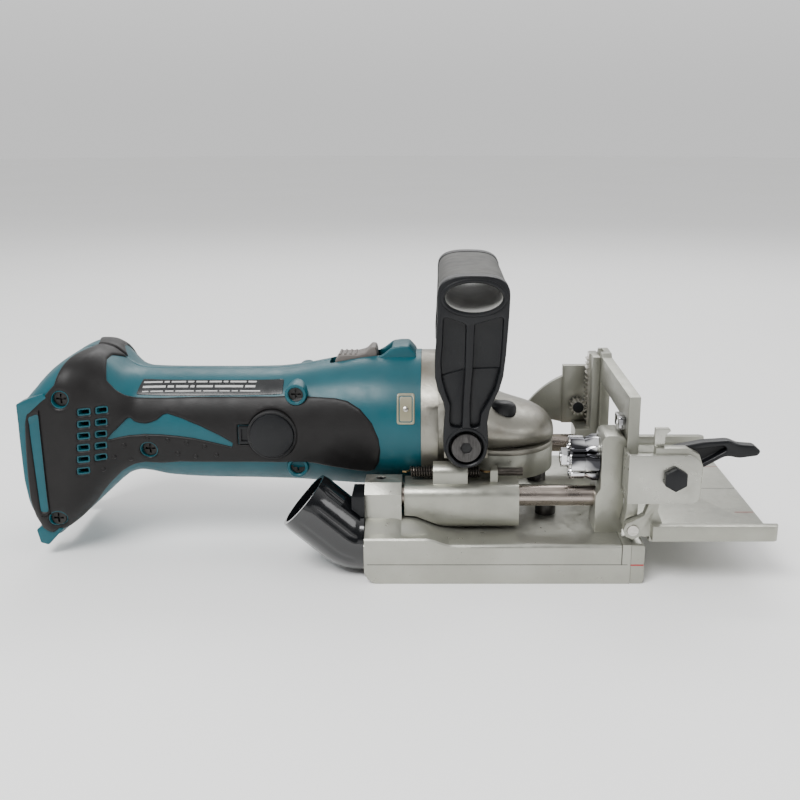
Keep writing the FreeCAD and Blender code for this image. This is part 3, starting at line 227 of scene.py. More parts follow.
TEAL = plastic("teal_plastic", (0.0048, 0.078, 0.1), (0.0036, 0.062, 0.08), 0.36, 2200, 0.03, specular=0.32)
GRIP_BLACK = plastic(
    "soft_grip", (0.0115, 0.0106, 0.0106), (0.0075, 0.007, 0.007), 0.42, 1900, 0.05,
    specular=0.22)
BLACK = plastic(
    "black_plastic", (0.0055, 0.006, 0.0072), (0.0035, 0.004, 0.005), 0.36, 1700, 0.05,
    wear=(0.02, 0.021, 0.023), specular=0.28)
DUSTY = plastic(
    "dusty_black", (0.075, 0.074, 0.068), (0.045, 0.045, 0.042), 0.6, 1500, 0.06,
    wear=(0.12, 0.12, 0.11), specular=0.3)
PALE_INSIDE = plastic("pale_inside", (0.42, 0.42, 0.40), (0.26, 0.26, 0.25), 0.55, 900, 0.06)
GLOSS_BLACK = plastic(
    "gloss_black", (0.005, 0.0055, 0.0065), (0.003, 0.0035, 0.004), 0.12, 260, 0.05,
    coat=0.6)
CASTING = casting("cast_silver", (0.38, 0.38, 0.335), (0.29, 0.29, 0.25))
WORN_CASTING = casting(
    "worn_casting", (0.33, 0.32, 0.28), (0.22, 0.21, 0.18), 0.38, 1300, 0.05, 0.8,
    grime=(0.13, 0.105, 0.075))
SOLE = casting("cast_sole", (0.42, 0.42, 0.375), (0.33, 0.33, 0.29), 0.35, 1900, 0.035)
PLATE = casting(
    "plated_sheet", (0.44, 0.44, 0.40), (0.37, 0.37, 0.33), 0.32, 420, 0.008, 0.85,
    grime=(0.27, 0.27, 0.24))
BAR = brushed("guide_bar", (0.42, 0.37, 0.33), (0.30, 0.26, 0.23), 0.26, (0.06, 1, 1))
STEEL = brushed("plated_steel", (0.62, 0.60, 0.56), (0.48, 0.46, 0.42), 0.3, (0.3, 1, 1))
DARK_STEEL = brushed("dark_steel", (0.075, 0.072, 0.07), (0.04, 0.038, 0.037), 0.36, (1, 1, 0.2), 0.8)
BLACK_STEEL = brushed("black_steel", (0.024, 0.023, 0.022), (0.013, 0.0125, 0.012), 0.42, (1, 1, 0.2), 0.5)
SPRING = brushed("spring_steel", (0.07, 0.062, 0.055), (0.04, 0.035, 0.03), 0.34, (0.4, 1, 1), 0.9)
BRONZE = brushed("bronze", (0.50, 0.34, 0.17), (0.36, 0.24, 0.12), 0.36, (1, 1, 0.3))
CHROME = polished("chrome", (0.72, 0.72, 0.73), (0.045, 0.045, 0.05))
IRON = casting("motor_iron", (0.12, 0.12, 0.125), (0.08, 0.08, 0.085), 0.55)
BEIGE = plastic("window_beige", (0.27, 0.25, 0.17), (0.20, 0.185, 0.125), 0.3, 700, 0.02, coat=0.3)
SWITCH_GREY = plastic("switch_grey", (0.13, 0.115, 0.105), (0.10, 0.088, 0.08), 0.5, 1500, 0.05)
LABEL_BLACK = plastic("label_film", (0.012, 0.013, 0.014), (0.009, 0.010, 0.011), 0.25, 400, 0.005)
LABEL_WHITE = plastic("label_print", (0.5, 0.5, 0.49), (0.38, 0.38, 0.38), 0.4, 900, 0.004)
MARK_RED = plastic("mark_red", (0.35, 0.035, 0.04), (0.25, 0.025, 0.03), 0.45, 900, 0.01)
MARK_GREY = plastic("mark_grey", (0.10, 0.10, 0.10), (0.06, 0.06, 0.06), 0.45, 900, 0.01)
# painted shade: a near-black colour for the housing's inside, recesses, gaps, sockets and the seam, standing
# in for their shadows
PAINTED_SHADE = plastic("painted_shade_black", (0.004, 0.004, 0.005), (0.003, 0.003, 0.003), 0.7, 900, 0.02)
CARBON = plastic("carbon", (0.03, 0.03, 0.032), (0.02, 0.02, 0.02), 0.6)

# the looks of the solids that are shown as they are or with eased edges
NODE_LOOKS = {
    SOLE: "base_casting blade_cover",
    CASTING: "front_plate fence_posts bearing_box fence_slide angle_sector angle_guide",
    WORN_CASTING: "gear_housing",
    PLATE: "angle_pointer",
    BAR: "guide_bars",
    STEEL: "height_rack battery_terminals motor_bearings spindle_bearings armature_shaft drive_pinion "
           "spindle inner_flange saw_blade bevel_gear hinge_pins height_pinion shaft_lock_spring",
    DARK_STEEL: "base_screws handle_bolts bar_set_screws gear_housing_screws lock_nut",
    BLACK_STEEL: "housing_screws",
    SPRING: "stop_striker",
    CHROME: "turret_axle depth_turret",
    BRONZE: "bar_bushings commutator",
    IRON: "motor_field armature_core",
    BLACK: "switch_unit switch_rod cooling_fan height_knob nozzle_holder",
    CARBON: "carbon_brushes",
}
for look, names in NODE_LOOKS.items():
    for name in names.split():
        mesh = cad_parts[name].data
        mesh.materials.clear()
        mesh.materials.append(look)


# ---- mesh tools

def finish_faces(mesh, angle=32):
    """Outward normals, smooth shading, and hard edges only where the surface really turns."""
    bm = bmesh.new()
    bm.from_mesh(mesh)
    bmesh.ops.recalc_face_normals(bm, faces=bm.faces)
    limit = radians(angle)
    for face in bm.faces:
        face.smooth = True
    for edge in bm.edges:
        edge.smooth = len(edge.link_faces) == 2 and edge.calc_face_angle(0) < limit
    bm.to_mesh(mesh)
    bm.free()


def piece(name, verts, faces, body, look, angle=32):
    """A new piece from points in millimetres."""
    mesh = bpy.data.meshes.new(name)
    mesh.from_pydata([tuple(c * MM for c in v) for v in verts], [], faces)
    mesh.materials.append(look)
    finish_faces(mesh, angle)
    obj = new_object(name, mesh)
    if body:
        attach(obj, body)
    return obj


def settle(obj, angle=32):
    """Applies the object's modifiers."""
    bpy.context.view_layer.update()
    graph = bpy.context.evaluated_depsgraph_get()
    mesh = bpy.data.meshes.new_from_object(obj.evaluated_get(graph))
    obj.modifiers.clear()
    old = obj.data
    obj.data = mesh
    bpy.data.meshes.remove(old)
    finish_faces(mesh, angle)
    return obj


def bevel(obj, width, segments=2, angle=32, shade=40):
    """Rounds the edges that turn by more than angle; those over shade stay hard in the shading."""
    m = obj.modifiers.new("bevel", "BEVEL")
    m.width = width * MM
    m.segments = segments
    m.limit_method = "ANGLE"
    m.angle_limit = radians(angle)
    return settle(obj, shade)


def cut(obj, *solids, look=None):
    """Cuts solids out of the object, each an outline, its axis, and its two ends along the axis."""
    look = look or obj.data.materials[0]
    cutter = joined("cutter", [prism("cutter_part", *solid, None, look) for solid in solids], None)
    m = obj.modifiers.new("boolean", "BOOLEAN")
    m.operation = "DIFFERENCE"
    m.solver = "EXACT"
    m.use_self = True
    m.use_hole_tolerant = True
    m.object = cutter
    settle(obj)
    bpy.data.objects.remove(cutter)


def joined(name, objs, body):
    """Several objects as one piece."""
    bm = bmesh.new()
    looks = []
    for obj in objs:
        offset = len(looks)
        looks += list(obj.data.materials)
        start = len(bm.faces)
        bm.from_mesh(obj.data)
        bm.faces.ensure_lookup_table()
        for face in bm.faces[start:]:
            face.material_index += offset
        bpy.data.objects.remove(obj)
    mesh = bpy.data.meshes.new(name)
    bm.to_mesh(mesh)
    bm.free()
    for look in looks:
        mesh.materials.append(look)
    out = new_object(name, mesh)
    if body:
        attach(out, body)
    return out


def mirrored(obj, name, body):
    """The same piece on the other side of the tool; a slot goes to both."""
    copy = new_object(name, obj.data.copy())
    bm = bmesh.new()
    bm.from_mesh(copy.data)
    bmesh.ops.scale(bm, vec=(1, -1, 1), verts=bm.verts)
    bmesh.ops.reverse_faces(bm, faces=bm.faces)
    bm.to_mesh(copy.data)
    bm.free()
    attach(copy, body)
    return copy


AXIS_TURNS = {
    "x": lambda a, b, along: (along, a, b),
    "y": lambda a, b, along: (a, along, b),
    "z": lambda a, b, along: (a, b, along),
}


def rounded(points, steps=6):
    """A closed outline; a point (a, b, r) is a corner rounded to radius r."""
    out = []
    count = len(points)
    for i, point in enumerate(points):
        here = Vector(point[:2])
        if len(point) < 3:
            out.append(tuple(here))
            continue
        before = Vector(points[i - 1][:2]) - here
        after = Vector(points[(i + 1) % count][:2]) - here
        turn = before.angle(after)
        reach = min(point[2] / tan(turn / 2), before.length * 0.49, after.length * 0.49)
        radius = reach * tan(turn / 2)
        start, end = here + before.normalized() * reach, here + after.normalized() * reach
        middle = (before.normalized() + after.normalized()).normalized()
        centre = here + middle * (radius / sin(turn / 2))
        a0, a1 = start - centre, end - centre
        sweep = atan2(a0.x * a1.y - a0.y * a1.x, a0.dot(a1))
        for k in range(steps + 1):
            angle = sweep * k / steps
            c, s = cos(angle), sin(angle)
            out.append((centre.x + a0.x * c - a0.y * s, centre.y + a0.x * s + a0.y * c))
    return out


def rectangle(a0, a1, b0, b1, corner, steps=3):
    return rounded([(a0, b0, corner), (a1, b0, corner), (a1, b1, corner), (a0, b1, corner)], steps)


def disc(centre, radius, count=28):
    turns = [2 * pi * i / count for i in range(count)]
    return [(centre[0] + radius * cos(a), centre[1] + radius * sin(a)) for a in turns]


def squircle(centre, half_a, half_b, power, count=48):
    """A closed curve between an ellipse (power 2) and a rectangle."""
    out = []
    for i in range(count):
        angle = 2 * pi * i / count
        c, s = cos(angle), sin(angle)
        r = (abs(c) ** power + abs(s) ** power) ** (-1 / power)
        out.append((centre[0] + half_a * r * c, centre[1] + half_b * r * s))
    return out


def ring_faces(rings, sides, first=0, inward=False):
    """Faces between closed rings of points that follow each other from index first."""
    faces = []
    for i in range(rings - 1):
        a, b = first + i * sides, first + (i + 1) * sides
        for k in range(sides):
            j = (k + 1) % sides
            faces.append((a + j, a + k, b + k, b + j) if inward else (a + k, a + j, b + j, b + k))
    return faces


def sleeve_faces(rings, sides):
    """Faces of an open tube wall: its outer rings of points come first, then as many inner ones."""
    inner = rings * sides
    last = inner - sides
    faces = ring_faces(rings, sides) + ring_faces(rings, sides, inner, True)
    for k in range(sides):
        j = (k + 1) % sides
        faces.append((k, inner + k, inner + j, j))
        faces.append((last + k, last + j, inner + last + j, inner + last + k))
    return faces


def prism(name, outline, axis, low, high, body, look, soft=0, segments=2):
    """An outline drawn out along an axis, with its edges rounded by soft."""
    turn = AXIS_TURNS[axis]
    count = len(outline)
    verts = [turn(a, b, low) for a, b in outline] + [turn(a, b, high) for a, b in outline]
    faces = [tuple(range(count)), tuple(range(2 * count - 1, count - 1, -1))] + ring_faces(2, count)
    obj = piece(name, verts, faces, body, look)
    return bevel(obj, soft, segments) if soft else obj


def corners(x, y):
    return [(x[0], y[0]), (x[1], y[0]), (x[1], y[1]), (x[0], y[1])]


def block(name, x, y, z, body, look, soft=0, segments=2):
    return prism(name, corners(x, y), "z", *z, body, look, soft, segments)


def lathe(name, profile, axis, centre, body, look, count=48):
    """A turned piece: profile is (radius, along) points from one end on the axis to the other."""
    turn = AXIS_TURNS[axis]
    verts, faces, rings = [], [], []
    for radius, along in profile:
        ring = disc(centre, radius, count) if radius else [centre]
        rings.append(range(len(verts), len(verts) + len(ring)))
        verts += [turn(a, b, along) for a, b in ring]
    for lower, upper in zip(rings, rings[1:]):
        for i in range(count):
            j = (i + 1) % count
            if len(lower) == 1:
                faces.append((lower[0], upper[i], upper[j]))
            elif len(upper) == 1:
                faces.append((lower[i], upper[0], lower[j]))
            else:
                faces.append((lower[i], lower[j], upper[j], upper[i]))
    return piece(name, verts, faces, body, look)


def tube(name, path, radius, body, look, sides=12, closed_ends=True):
    """A round rod along a list of points."""
    pts = [Vector(p) for p in path]
    tangents = [(pts[min(i + 1, len(pts) - 1)] - pts[max(i - 1, 0)]).normalized() for i in range(len(pts))]
    normal = tangents[0].orthogonal().normalized()
    verts = []
    for p, t in zip(pts, tangents):
        normal = (normal - t * normal.dot(t)).normalized()
        side = t.cross(normal)
        for k in range(sides):
            a = 2 * pi * k / sides
            verts.append(tuple(p + (normal * cos(a) + side * sin(a)) * radius))
    faces = ring_faces(len(pts), sides)
    if closed_ends:
        faces.append(tuple(range(sides - 1, -1, -1)))
        faces.append(tuple(range(len(verts) - sides, len(verts))))
    return piece(name, verts, faces, body, look)


def soften(node, width, body):
    """A copy of a CAD node with its edges eased, which takes the node's place."""
    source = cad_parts[node]
    bm = bmesh.new()
    bm.from_mesh(source.data)
    bmesh.ops.remove_doubles(bm, verts=bm.verts, dist=1e-6)
    bmesh.ops.dissolve_limit(bm, angle_limit=radians(0.6), verts=bm.verts, edges=bm.edges,
                             delimit={"MATERIAL"})
    mesh = bpy.data.meshes.new(node + "_eased")
    bm.to_mesh(mesh)
    bm.free()
    mesh.materials.append(source.data.materials[0])
    obj = new_object(node + "_eased", mesh)
    bevel(obj, width, angle=30, shade=38)
    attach(obj, body)
    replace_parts(obj, node)


# ---- the housing's surface

def curve_through(points):
    """Monotone cubic through (x, value) points."""
    xs = np.array([p[0] for p in points], float)
    ys = np.array([p[1] for p in points], float)
    h = np.diff(xs)
    slope = np.diff(ys) / h
    m = np.zeros(len(xs))
    m[0], m[-1] = slope[0], slope[-1]
    for i in range(1, len(xs) - 1):
        if slope[i - 1] * slope[i] > 0:
            a, b = 2 * h[i] + h[i - 1], h[i] + 2 * h[i - 1]
            m[i] = (a + b) / (a / slope[i - 1] + b / slope[i])

    def value(x):
        x = min(max(x, xs[0]), xs[-1])
        i = min(int(np.searchsorted(xs, x, side="right")) - 1, len(xs) - 2)
        t = (x - xs[i]) / h[i]
        return ((2 * t ** 3 - 3 * t ** 2 + 1) * ys[i] + (t ** 3 - 2 * t ** 2 + t) * h[i] * m[i]
                + (3 * t ** 2 - 2 * t ** 3) * ys[i + 1] + (t ** 3 - t ** 2) * h[i] * m[i + 1])
    return value


TOP = curve_through([
    (-236, 80.2), (-234.5, 82), (-231, 85.4), (-227, 90), (-222, 94.8), (-216, 98.8), (-210, 100.9),
    (-204, 101.4), (-199, 100.2), (-194, 96.6), (-190, 92.9), (-186.5, 90.8), (-181, 89.7), (-160, 89.3),
    (-135, 89.3), (-116, 89.6), (-103, 91), (-92, 93), (-80, 95.4), (-68, 97.4), (-56, 98.4), (-41.4, 98.5)])
BOTTOM = curve_through([
    (-236, 30), (-235.4, 24), (-234, 19), (-232, 15), (-230.3, 11), (-229.3, 8.2), (-226.4, 7.4),
    (-223.6, 9.6), (-219, 13.2), (-211, 19.6), (-202, 27.6), (-196, 32.8), (-191, 36), (-186, 37),
    (-180, 36), (-170, 33.8), (-150, 32.4), (-125, 31.9), (-105, 31.2), (-88, 30), (-70, 29), (-41.4, 28.7)])
HALF = curve_through([
    (-236, 37.2), (-234, 37.8), (-226, 38), (-214, 37.9), (-206, 36.4), (-198, 33.2), (-190, 30),
    (-182, 28.3), (-170, 27.8), (-140, 27.5), (-112, 27.8), (-98, 28.8), (-84, 30.8), (-70, 33),
    (-56, 34.4), (-41.4, 34.7)])
SQUARE = curve_through([
    (-236, 5.5), (-216, 5), (-204, 3.6), (-192, 2.6), (-180, 2.25), (-100, 2.2), (-41.4, 2.02)])


# the foot's battery side and the front rim, where the shell ends
REAR, FRONT = -236, -41.4


def section(x):
    """Middle height, half height, half width and squareness of the housing at x."""
    top, bottom = TOP(x), BOTTOM(x)
    return (top + bottom) / 2, (top - bottom) / 2, HALF(x), SQUARE(x)


def on_shell(x, t, side=-1):
    """A point of the housing's surface: t runs from -90 at the bottom to 90 at the top, degrees."""
    centre, half_z, half_y, n = section(x)
    c, s = cos(radians(t)), sin(radians(t))
    r = (abs(c) ** n + abs(s) ** n) ** (-1 / n)
    return Vector((x, side * half_y * r * c, centre + half_z * r * s))


def shell_normal(x, t):
    lo, hi = max(x - 0.4, REAR + 0.1), min(x + 0.4, FRONT)
    along = on_shell(hi, t) - on_shell(lo, t)
    around = on_shell(x, min(t + 0.6, 90.6)) - on_shell(x, t - 0.6)
    normal = along.cross(around).normalized()
    return normal if normal.dot(on_shell(x, t) - Vector((x, 0, section(x)[0]))) > 0 else -normal


def angle_at(x, z):
    """The t at which the surface stands at height z."""
    centre, half_z, _, n = section(x)
    u = max(-0.999, min(0.999, (z - centre) / half_z))
    return degrees(atan2(u, (1 - abs(u) ** n) ** (1 / n)))


def standing(x, z):
    """The point of the surface at (x, z) on the right side, and the turn from +Z to its normal."""
    t = angle_at(x, z)
    spin = Vector((0, 0, 1)).rotation_difference(shell_normal(x, t)).to_matrix().to_4x4()
    return on_shell(x, t), shell_normal(x, t), spin


def inside(points, loop):
    """Which points lie inside a closed outline."""
    x, y = points[:, 0], points[:, 1]
    result = np.zeros(len(points), bool)
    for (x0, y0), (x1, y1) in zip(loop, np.roll(loop, -1, axis=0)):
        crosses = (y0 > y) != (y1 > y)
        if y0 != y1:
            result ^= crosses & (x < (x1 - x0) * (y - y0) / (y1 - y0) + x0)
    return result


def within(points, loops):
    """Which points lie inside the first outline and outside the others."""
    result = inside(points, loops[0])
    for loop in loops[1:]:
        result &= ~inside(points, loop)
    return result


def distance(points, loops):
    """How far each point is from the nearest outline."""
    best = np.full(len(points), 1e9)
    for loop in loops:
        for a, b in zip(loop, np.roll(loop, -1, axis=0)):
            along = b - a
            t = np.clip(((points - a) @ along) / max(along @ along, 1e-9), 0, 1)
            best = np.minimum(best, np.hypot(*(points - a - t[:, None] * along).T))
    return best


# millimetres of the flat map for one degree round the housing
ARC = 0.5


def flat_loop(outline, spacing):
    """An outline of (x, z) or (x, None, t) points on the flat map of x and angle, in short steps."""
    loop = np.array([(p[0], ARC * (p[2] if len(p) > 2 else angle_at(p[0], p[1]))) for p in outline])
    out = []
    for a, b in zip(loop, np.roll(loop, -1, axis=0)):
        parts = max(1, int(np.ceil(np.hypot(*(b - a)) / spacing)))
        out += [a + (b - a) * k / parts for k in range(parts)]
    return np.array(out)


def skin_points(loops, edge, step):
    """A grid of points, and rows that follow each outline across its rounded edge."""
    low, high = loops[0].min(axis=0), loops[0].max(axis=0)
    rows, columns = np.arange(low[0], high[0], step), np.arange(low[1], high[1], step)
    grid = np.array([(a, b) for a in rows for b in columns])
    spread = [grid[distance(grid, loops) > edge + 0.35]]
    for loop in loops:
        tangent = np.roll(loop, -1, axis=0) - np.roll(loop, 1, axis=0)
        length = np.maximum(np.hypot(*tangent.T), 1e-9)
        normal = np.stack([-tangent[:, 1], tangent[:, 0]], axis=1) / length[:, None]
        for reach in (0.3, 0.75, edge):
            for sign in (1, -1):
                spots = loop + normal * reach * sign
                spread.append(spots[distance(spots, loops) > reach * 0.93])
    points = np.concatenate(spread)
    return points[within(points, loops)]


def skin_mesh(loops, edge, step):
    """The skin on the flat map: its points and triangles."""
    edges, start = [], 0
    for loop in loops:
        count = len(loop)
        edges += [(start + i, start + (i + 1) % count) for i in range(count)]
        start += count
    points = np.concatenate(loops + [skin_points(loops, edge, step)])
    flat, _, faces, *_ = delaunay_2d_cdt([Vector(p) for p in points], edges, [], 0, 1e-5)
    flat = np.array([tuple(v) for v in flat])
    faces = [f for f in faces if len(f) == 3]
    middles = np.array([flat[list(f)].mean(axis=0) for f in faces])
    faces = [f for f, keep in zip(faces, within(middles, loops)) if keep]
    used = sorted({i for f in faces for i in f})
    index = {old: new for new, old in enumerate(used)}
    return flat[used], [tuple(index[i] for i in f) for f in faces]


def skin(name, outline, holes, height, look, body, edge=1.3, step=1.5, dish=None, deep=0.9):
    """A raised skin on the housing's right side: height above the surface, deep below it.

    Its edges are rounded over the width edge.  A dish is a shallow hollow: (x, z), radius, depth.
    """
    loops = [flat_loop(outline, 0.9)] + [flat_loop(hole, 0.7) for hole in holes]
    flat, faces = skin_mesh(loops, edge, step)
    front, back = [], []
    for (x, q), gap in zip(flat, distance(flat, loops)):
        p, n = on_shell(x, q / ARC), shell_normal(x, q / ARC)
        lift = -0.3 + (height + 0.3) * sqrt(1 - (1 - min(gap / edge, 1)) ** 2)
        if dish:
            (dish_x, dish_z), radius, drop = dish
            away = hypot(x - dish_x, p.z - dish_z) / radius
            lift -= drop * max(0, 1 - away ** 2) ** 2
        front.append(tuple(p + n * lift))
        back.append(tuple(p - n * deep))
    sides = [side for f in faces for side in zip(f, f[1:] + f[:1])]
    known = set(sides)
    count = len(front)
    walls = [(a, b, b + count, a + count) for a, b in sides if (b, a) not in known]
    under = [tuple(i + count for i in reversed(f)) for f in faces]
    return piece(name, front + back, faces + under + walls, body, look, 50)


# ---- housing halves

# (x, z) of the screws, the same on both sides
SCREWS = [(-214.6, 82.6), (-102.9, 82), (-103.2, 44.4), (-176.7, 54), (-222, 21)]


# the vents' two columns: x of their ends in the top row, each row below a little further back
VENTS = [(-206.4, -201.9), (-198.7, -194.6)]


def vent_outlines(grow, corner):
    """Six rows of vents, the last with a single one, grown all round by grow."""
    outlines = []
    for row in range(6):
        z, drift = 76 - 5.95 * row, -0.55 * row
        for x0, x1 in VENTS[:1 if row == 5 else 2]:
            tall = 1.15 + grow
            outlines.append(rectangle(x0 + drift - grow, x1 + drift + grow, z - tall, z + tall, corner))
    return outlines


def build_housing(side, word):
    """One half: a closed solid between the parting plane and the outer surface."""
    xs = [*np.arange(REAR, -224, 0.8), *np.arange(-224, -180, 1.4), *np.arange(-180, -43, 2.2), FRONT]
    ts = np.linspace(-90, 90, 81)
    verts, faces = [], []
    for x in xs:
        for k, t in enumerate(ts):
            p = on_shell(x, t, side)
            if k in (0, len(ts) - 1):
                p = Vector((x, side * 0.1, p.z - 0.45 * (1 if k else -1)))
            elif abs(p.y) < 0.3:
                p.y = side * 0.3
            verts.append(tuple(p))
    n = len(ts)
    for i in range(len(xs) - 1):
        for k in range(n - 1):
            a = i * n + k
            faces.append((a, a + n, a + n + 1, a + 1))
        faces.append((i * n, i * n + n - 1, (i + 1) * n + n - 1, (i + 1) * n))
    faces.append(tuple(range(n)))
    faces.append(tuple(range(len(verts) - 1, len(verts) - 1 - n, -1)))
    half = piece("housing_half_" + word, verts, faces, None, TEAL)

    def across(low, high):
        return (low, high) if side > 0 else (-high, -low)

    cut(half,
        (rounded([(-31, -8), (31, -8), (31, 84, 6), (-31, 84, 6)]), "x", -240, -227),
        (rectangle(-88, -57, -7, 7, 2, 6), "z", 88, 112),
        (disc((0, 63.5), 22.5, 56), "x", -186, -41),
        (corners((-206, -200.8), across(14, 20)), "z", 96.5, 110),
        (corners((-233.8, -231), across(30, 33.6)), "z", -8, 77),
        *((disc(SCREWS[i], 3.9), "y", *across(start, 60)) for i, start in ((0, 31.6), (3, 21.2), (4, 31.6))),
        *((outline, "y", *across(18, 60)) for outline in vent_outlines(0, 0.5)))
    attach(half, "power_unit")
    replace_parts(half, "housing_" + word)


build_housing(-1, "right")
build_housing(1, "left")

# a near-black block of painted shade inside the housing, seen through the vents and the small hole on top
block("shell_painted_shade", (-215, -190), (-17.5, 17.5), (40, 82), "power_unit", PAINTED_SHADE, 1)

# outlines on the housing's side, as (x, z) or, near the top, (x, None, angle round the housing):
# the black cover, the teal stripe in it, its raised dots, and the slot at the battery end
OVER = [
    (-207, None, 88.6), (-208.6, None, 76), (-212, None, 62), (-217.2, 89.6), (-221.5, 85), (-231.4, 77.6),
    (-232.5, 70), (-233.3, 58), (-233.9, 45), (-234, 32), (-232.6, 21.8), (-229.6, 15.4), (-225.3, 12.8),
    (-219.7, 14.2), (-213.8, 18.6), (-205.8, 26.6), (-201.2, 32.6), (-195.1, 39), (-190, 43),
    (-185.2, 45.4), (-179.6, 46.6), (-161.5, 47.2), (-125, 47), (-109.9, 46.9), (-99.1, 47.4),
    (-93.4, 46.6), (-77.1, 43.2), (-68.6, 42.4), (-64.6, 44), (-62, 49), (-61.2, 55.5), (-62, 62),
    (-65.1, 69.6), (-71, 76.2), (-77.4, 79.6), (-84, 80.6), (-98.8, 80.6), (-108.4, 80.5), (-124.1, 80.1),
    (-152.5, 80), (-181.1, 80), (-187.2, 81.6), (-191.5, 84.8), (-195, 89.2), (-197, None, 62),
    (-196.4, None, 72), (-194, None, 81), (-192, None, 88.6)]
STRIPE = [
    (-195.1, 61.1), (-191, 65.4), (-186.2, 70.2), (-184.6, 70.9), (-182.8, 69), (-180.4, 68.1),
    (-177.3, 67.7), (-174.2, 68.3), (-171.4, 69.5), (-168.6, 71.8), (-166.6, 72.3), (-160, 70.2),
    (-150, 66), (-141, 61.4), (-134.9, 57.6), (-135.4, 55.8), (-140, 57), (-146.6, 58.7), (-154, 60.4),
    (-162.1, 61.6), (-170, 62.4), (-177.7, 62.7), (-186, 62.2), (-193.5, 61)]
DOTS = [
    (-188.3, 57.4), (-176.7, 60.6), (-166.6, 59.5), (-157.3, 58.2), (-148.7, 56.2), (-162.3, 52.4),
    (-153.6, 50.8), (-143.2, 51.6), (-193.6, 51.6), (-186.4, 49.4), (-198.9, 45.6)]
BAR_SLOT = rounded([(-230.4, 73.2, 1), (-225.6, 75.4, 1), (-225.8, 25.2, 1), (-229.4, 25.2, 1)], 3)


# (x, z) of the middle of the brush cap
CAP_AT = (-115, 62)


def cap_hole():
    turns = [radians(-156 + 6.5 * k) for k in range(49)]
    ring = [(CAP_AT[0] + 12 * cos(a), CAP_AT[1] + 12 * sin(a)) for a in turns]
    return ring + [(-126, 66.8), (-131.8, 66.8), (-131.8, 57.2), (-126, 57.2)]


def grip_dot(i, x, z):
    """One of the small domes under the fingers."""
    p, n, spin = standing(x, z)
    bm = bmesh.new()
    bmesh.ops.create_uvsphere(bm, u_segments=16, v_segments=10, radius=1.25)
    bmesh.ops.scale(bm, vec=(1, 1, 0.62), verts=bm.verts)
    bmesh.ops.transform(bm, matrix=Matrix.Translation(p + n * 0.75) @ spin, verts=bm.verts)
    verts = [tuple(v.co) for v in bm.verts]
    faces = [[v.index for v in f.verts] for f in bm.faces]
    bm.free()
    return piece(f"dot_{i}", verts, faces, None, GRIP_BLACK, 60)


def build_cover():
    holes = [STRIPE, BAR_SLOT, cap_hole()] + vent_outlines(0.5, 0.7)
    holes += [disc(SCREWS[i], radius, 24) for i, radius in ((0, 4.1), (3, 4.25), (4, 4.1))]
    parts = [skin("cover_skin", OVER, holes, 0.95, GRIP_BLACK, None, dish=((-75, 51), 16, 0.9))]
    parts += [grip_dot(i, x, z) for i, (x, z) in enumerate(DOTS)]
    rim_outer = [(-231.4, 74.6), (-224.4, 78), (-224.4, 24.2), (-226.2, 22.6), (-230, 23.6)]
    rim_inner = [(-230.9, 73.8), (-225.1, 76.5), (-225.2, 24.6), (-226.4, 23.6), (-229.7, 24.4)]
    parts.append(skin("slot_rim", rim_outer, [rim_inner], 1.7, GRIP_BLACK, None, edge=0.35, step=3))
    right = joined("grip_skin_right", parts, "power_unit")
    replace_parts(right, "grip_cover_right")
    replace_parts(mirrored(right, "grip_skin_left", "power_unit"), "grip_cover_left")


# the sharp shoulder of the foot on the battery side and the short catch below its rear corner:
# outline, ends along y, easing
FOOT_PARTS = {
    "foot_ledge": ([
        (-235.9, 66), (-235.9, 80.2, 0.8), (-229.5, 83.1, 3), (-222.6, 85.5, 1), (-219.6, 82.6, 1),
        (-224, 66)], -37.6, -29, 0.5),
    "foot_spur": ([
        (-231.5, 16), (-234.4, 14, 1), (-232.9, 7, 1.2), (-229, 5.8, 1.2), (-224.6, 10.6, 2),
        (-221, 14.4, 0.6), (-225, 16)], -34.2, -24, 0.6),
}


def build_foot_parts():
    for name, (outline, low, high, soft) in FOOT_PARTS.items():
        right = prism(name + "_right", rounded(outline, 4), "y", low, high, "power_unit", TEAL, soft)
        mirrored(right, name + "_left", "power_unit")


def build_bosses():
    """Collars round the two front screws, with a disc of painted shade behind each screw."""
    profile = [(3.7, 14), (5.4, 14), (5.4, 26), (5, 26.7), (4.1, 26.7), (3.7, 26.3), (3.7, 14)]
    floor = [(0, 14), (3.8, 14), (3.8, 20), (0, 20)]
    rings = []
    for i in (1, 2):
        rings.append(lathe(f"boss_{i}", profile, "y", SCREWS[i], None, TEAL, 36))
        # painted shade: a near-black disc in the bottom of each collar
        rings.append(lathe(f"boss_shade_disc_{i}", floor, "y", SCREWS[i], None, PAINTED_SHADE, 24))
    left = joined("screw_bosses_left", rings, "power_unit")
    mirrored(left, "screw_bosses_right", "power_unit")


def decal(name, rects, lift, look, body, thick=0.12):
    """Small printed rectangles that follow the housing's side."""
    verts, faces = [], []
    for x0, x1, z0, z1 in rects:
        base = len(verts)
        for level in (lift, lift - thick):
            for x in (x0, (x0 + x1) / 2, x1):
                for z in (z0, z1):
                    t = angle_at(x, z)
                    verts.append(tuple(on_shell(x, t) + shell_normal(x, t) * level))
        for i in (0, 1):
            a = base + 2 * i
            faces += [(a, a + 2, a + 3, a + 1), (a + 6, a + 7, a + 9, a + 8)]
            faces += [(a, a + 6, a + 8, a + 2), (a + 1, a + 3, a + 9, a + 7)]
        faces += [(base, base + 1, base + 7, base + 6), (base + 4, base + 10, base + 11, base + 5)]
    return piece(name, verts, faces, body, look)


# the label's lines: height of the line, height of its marks, and the widths of the marks
LABEL_LINES = [(85.6, 0.5, (9, 2.4, 7, 3, 5.5, 6, 2.2, 8, 4)),
               (83.9, 0.75, (11, 3, 6, 2, 8, 14, 5)),
               (82.1, 0.4, (3, 6, 4, 9, 2.5, 7, 5, 3, 10))]


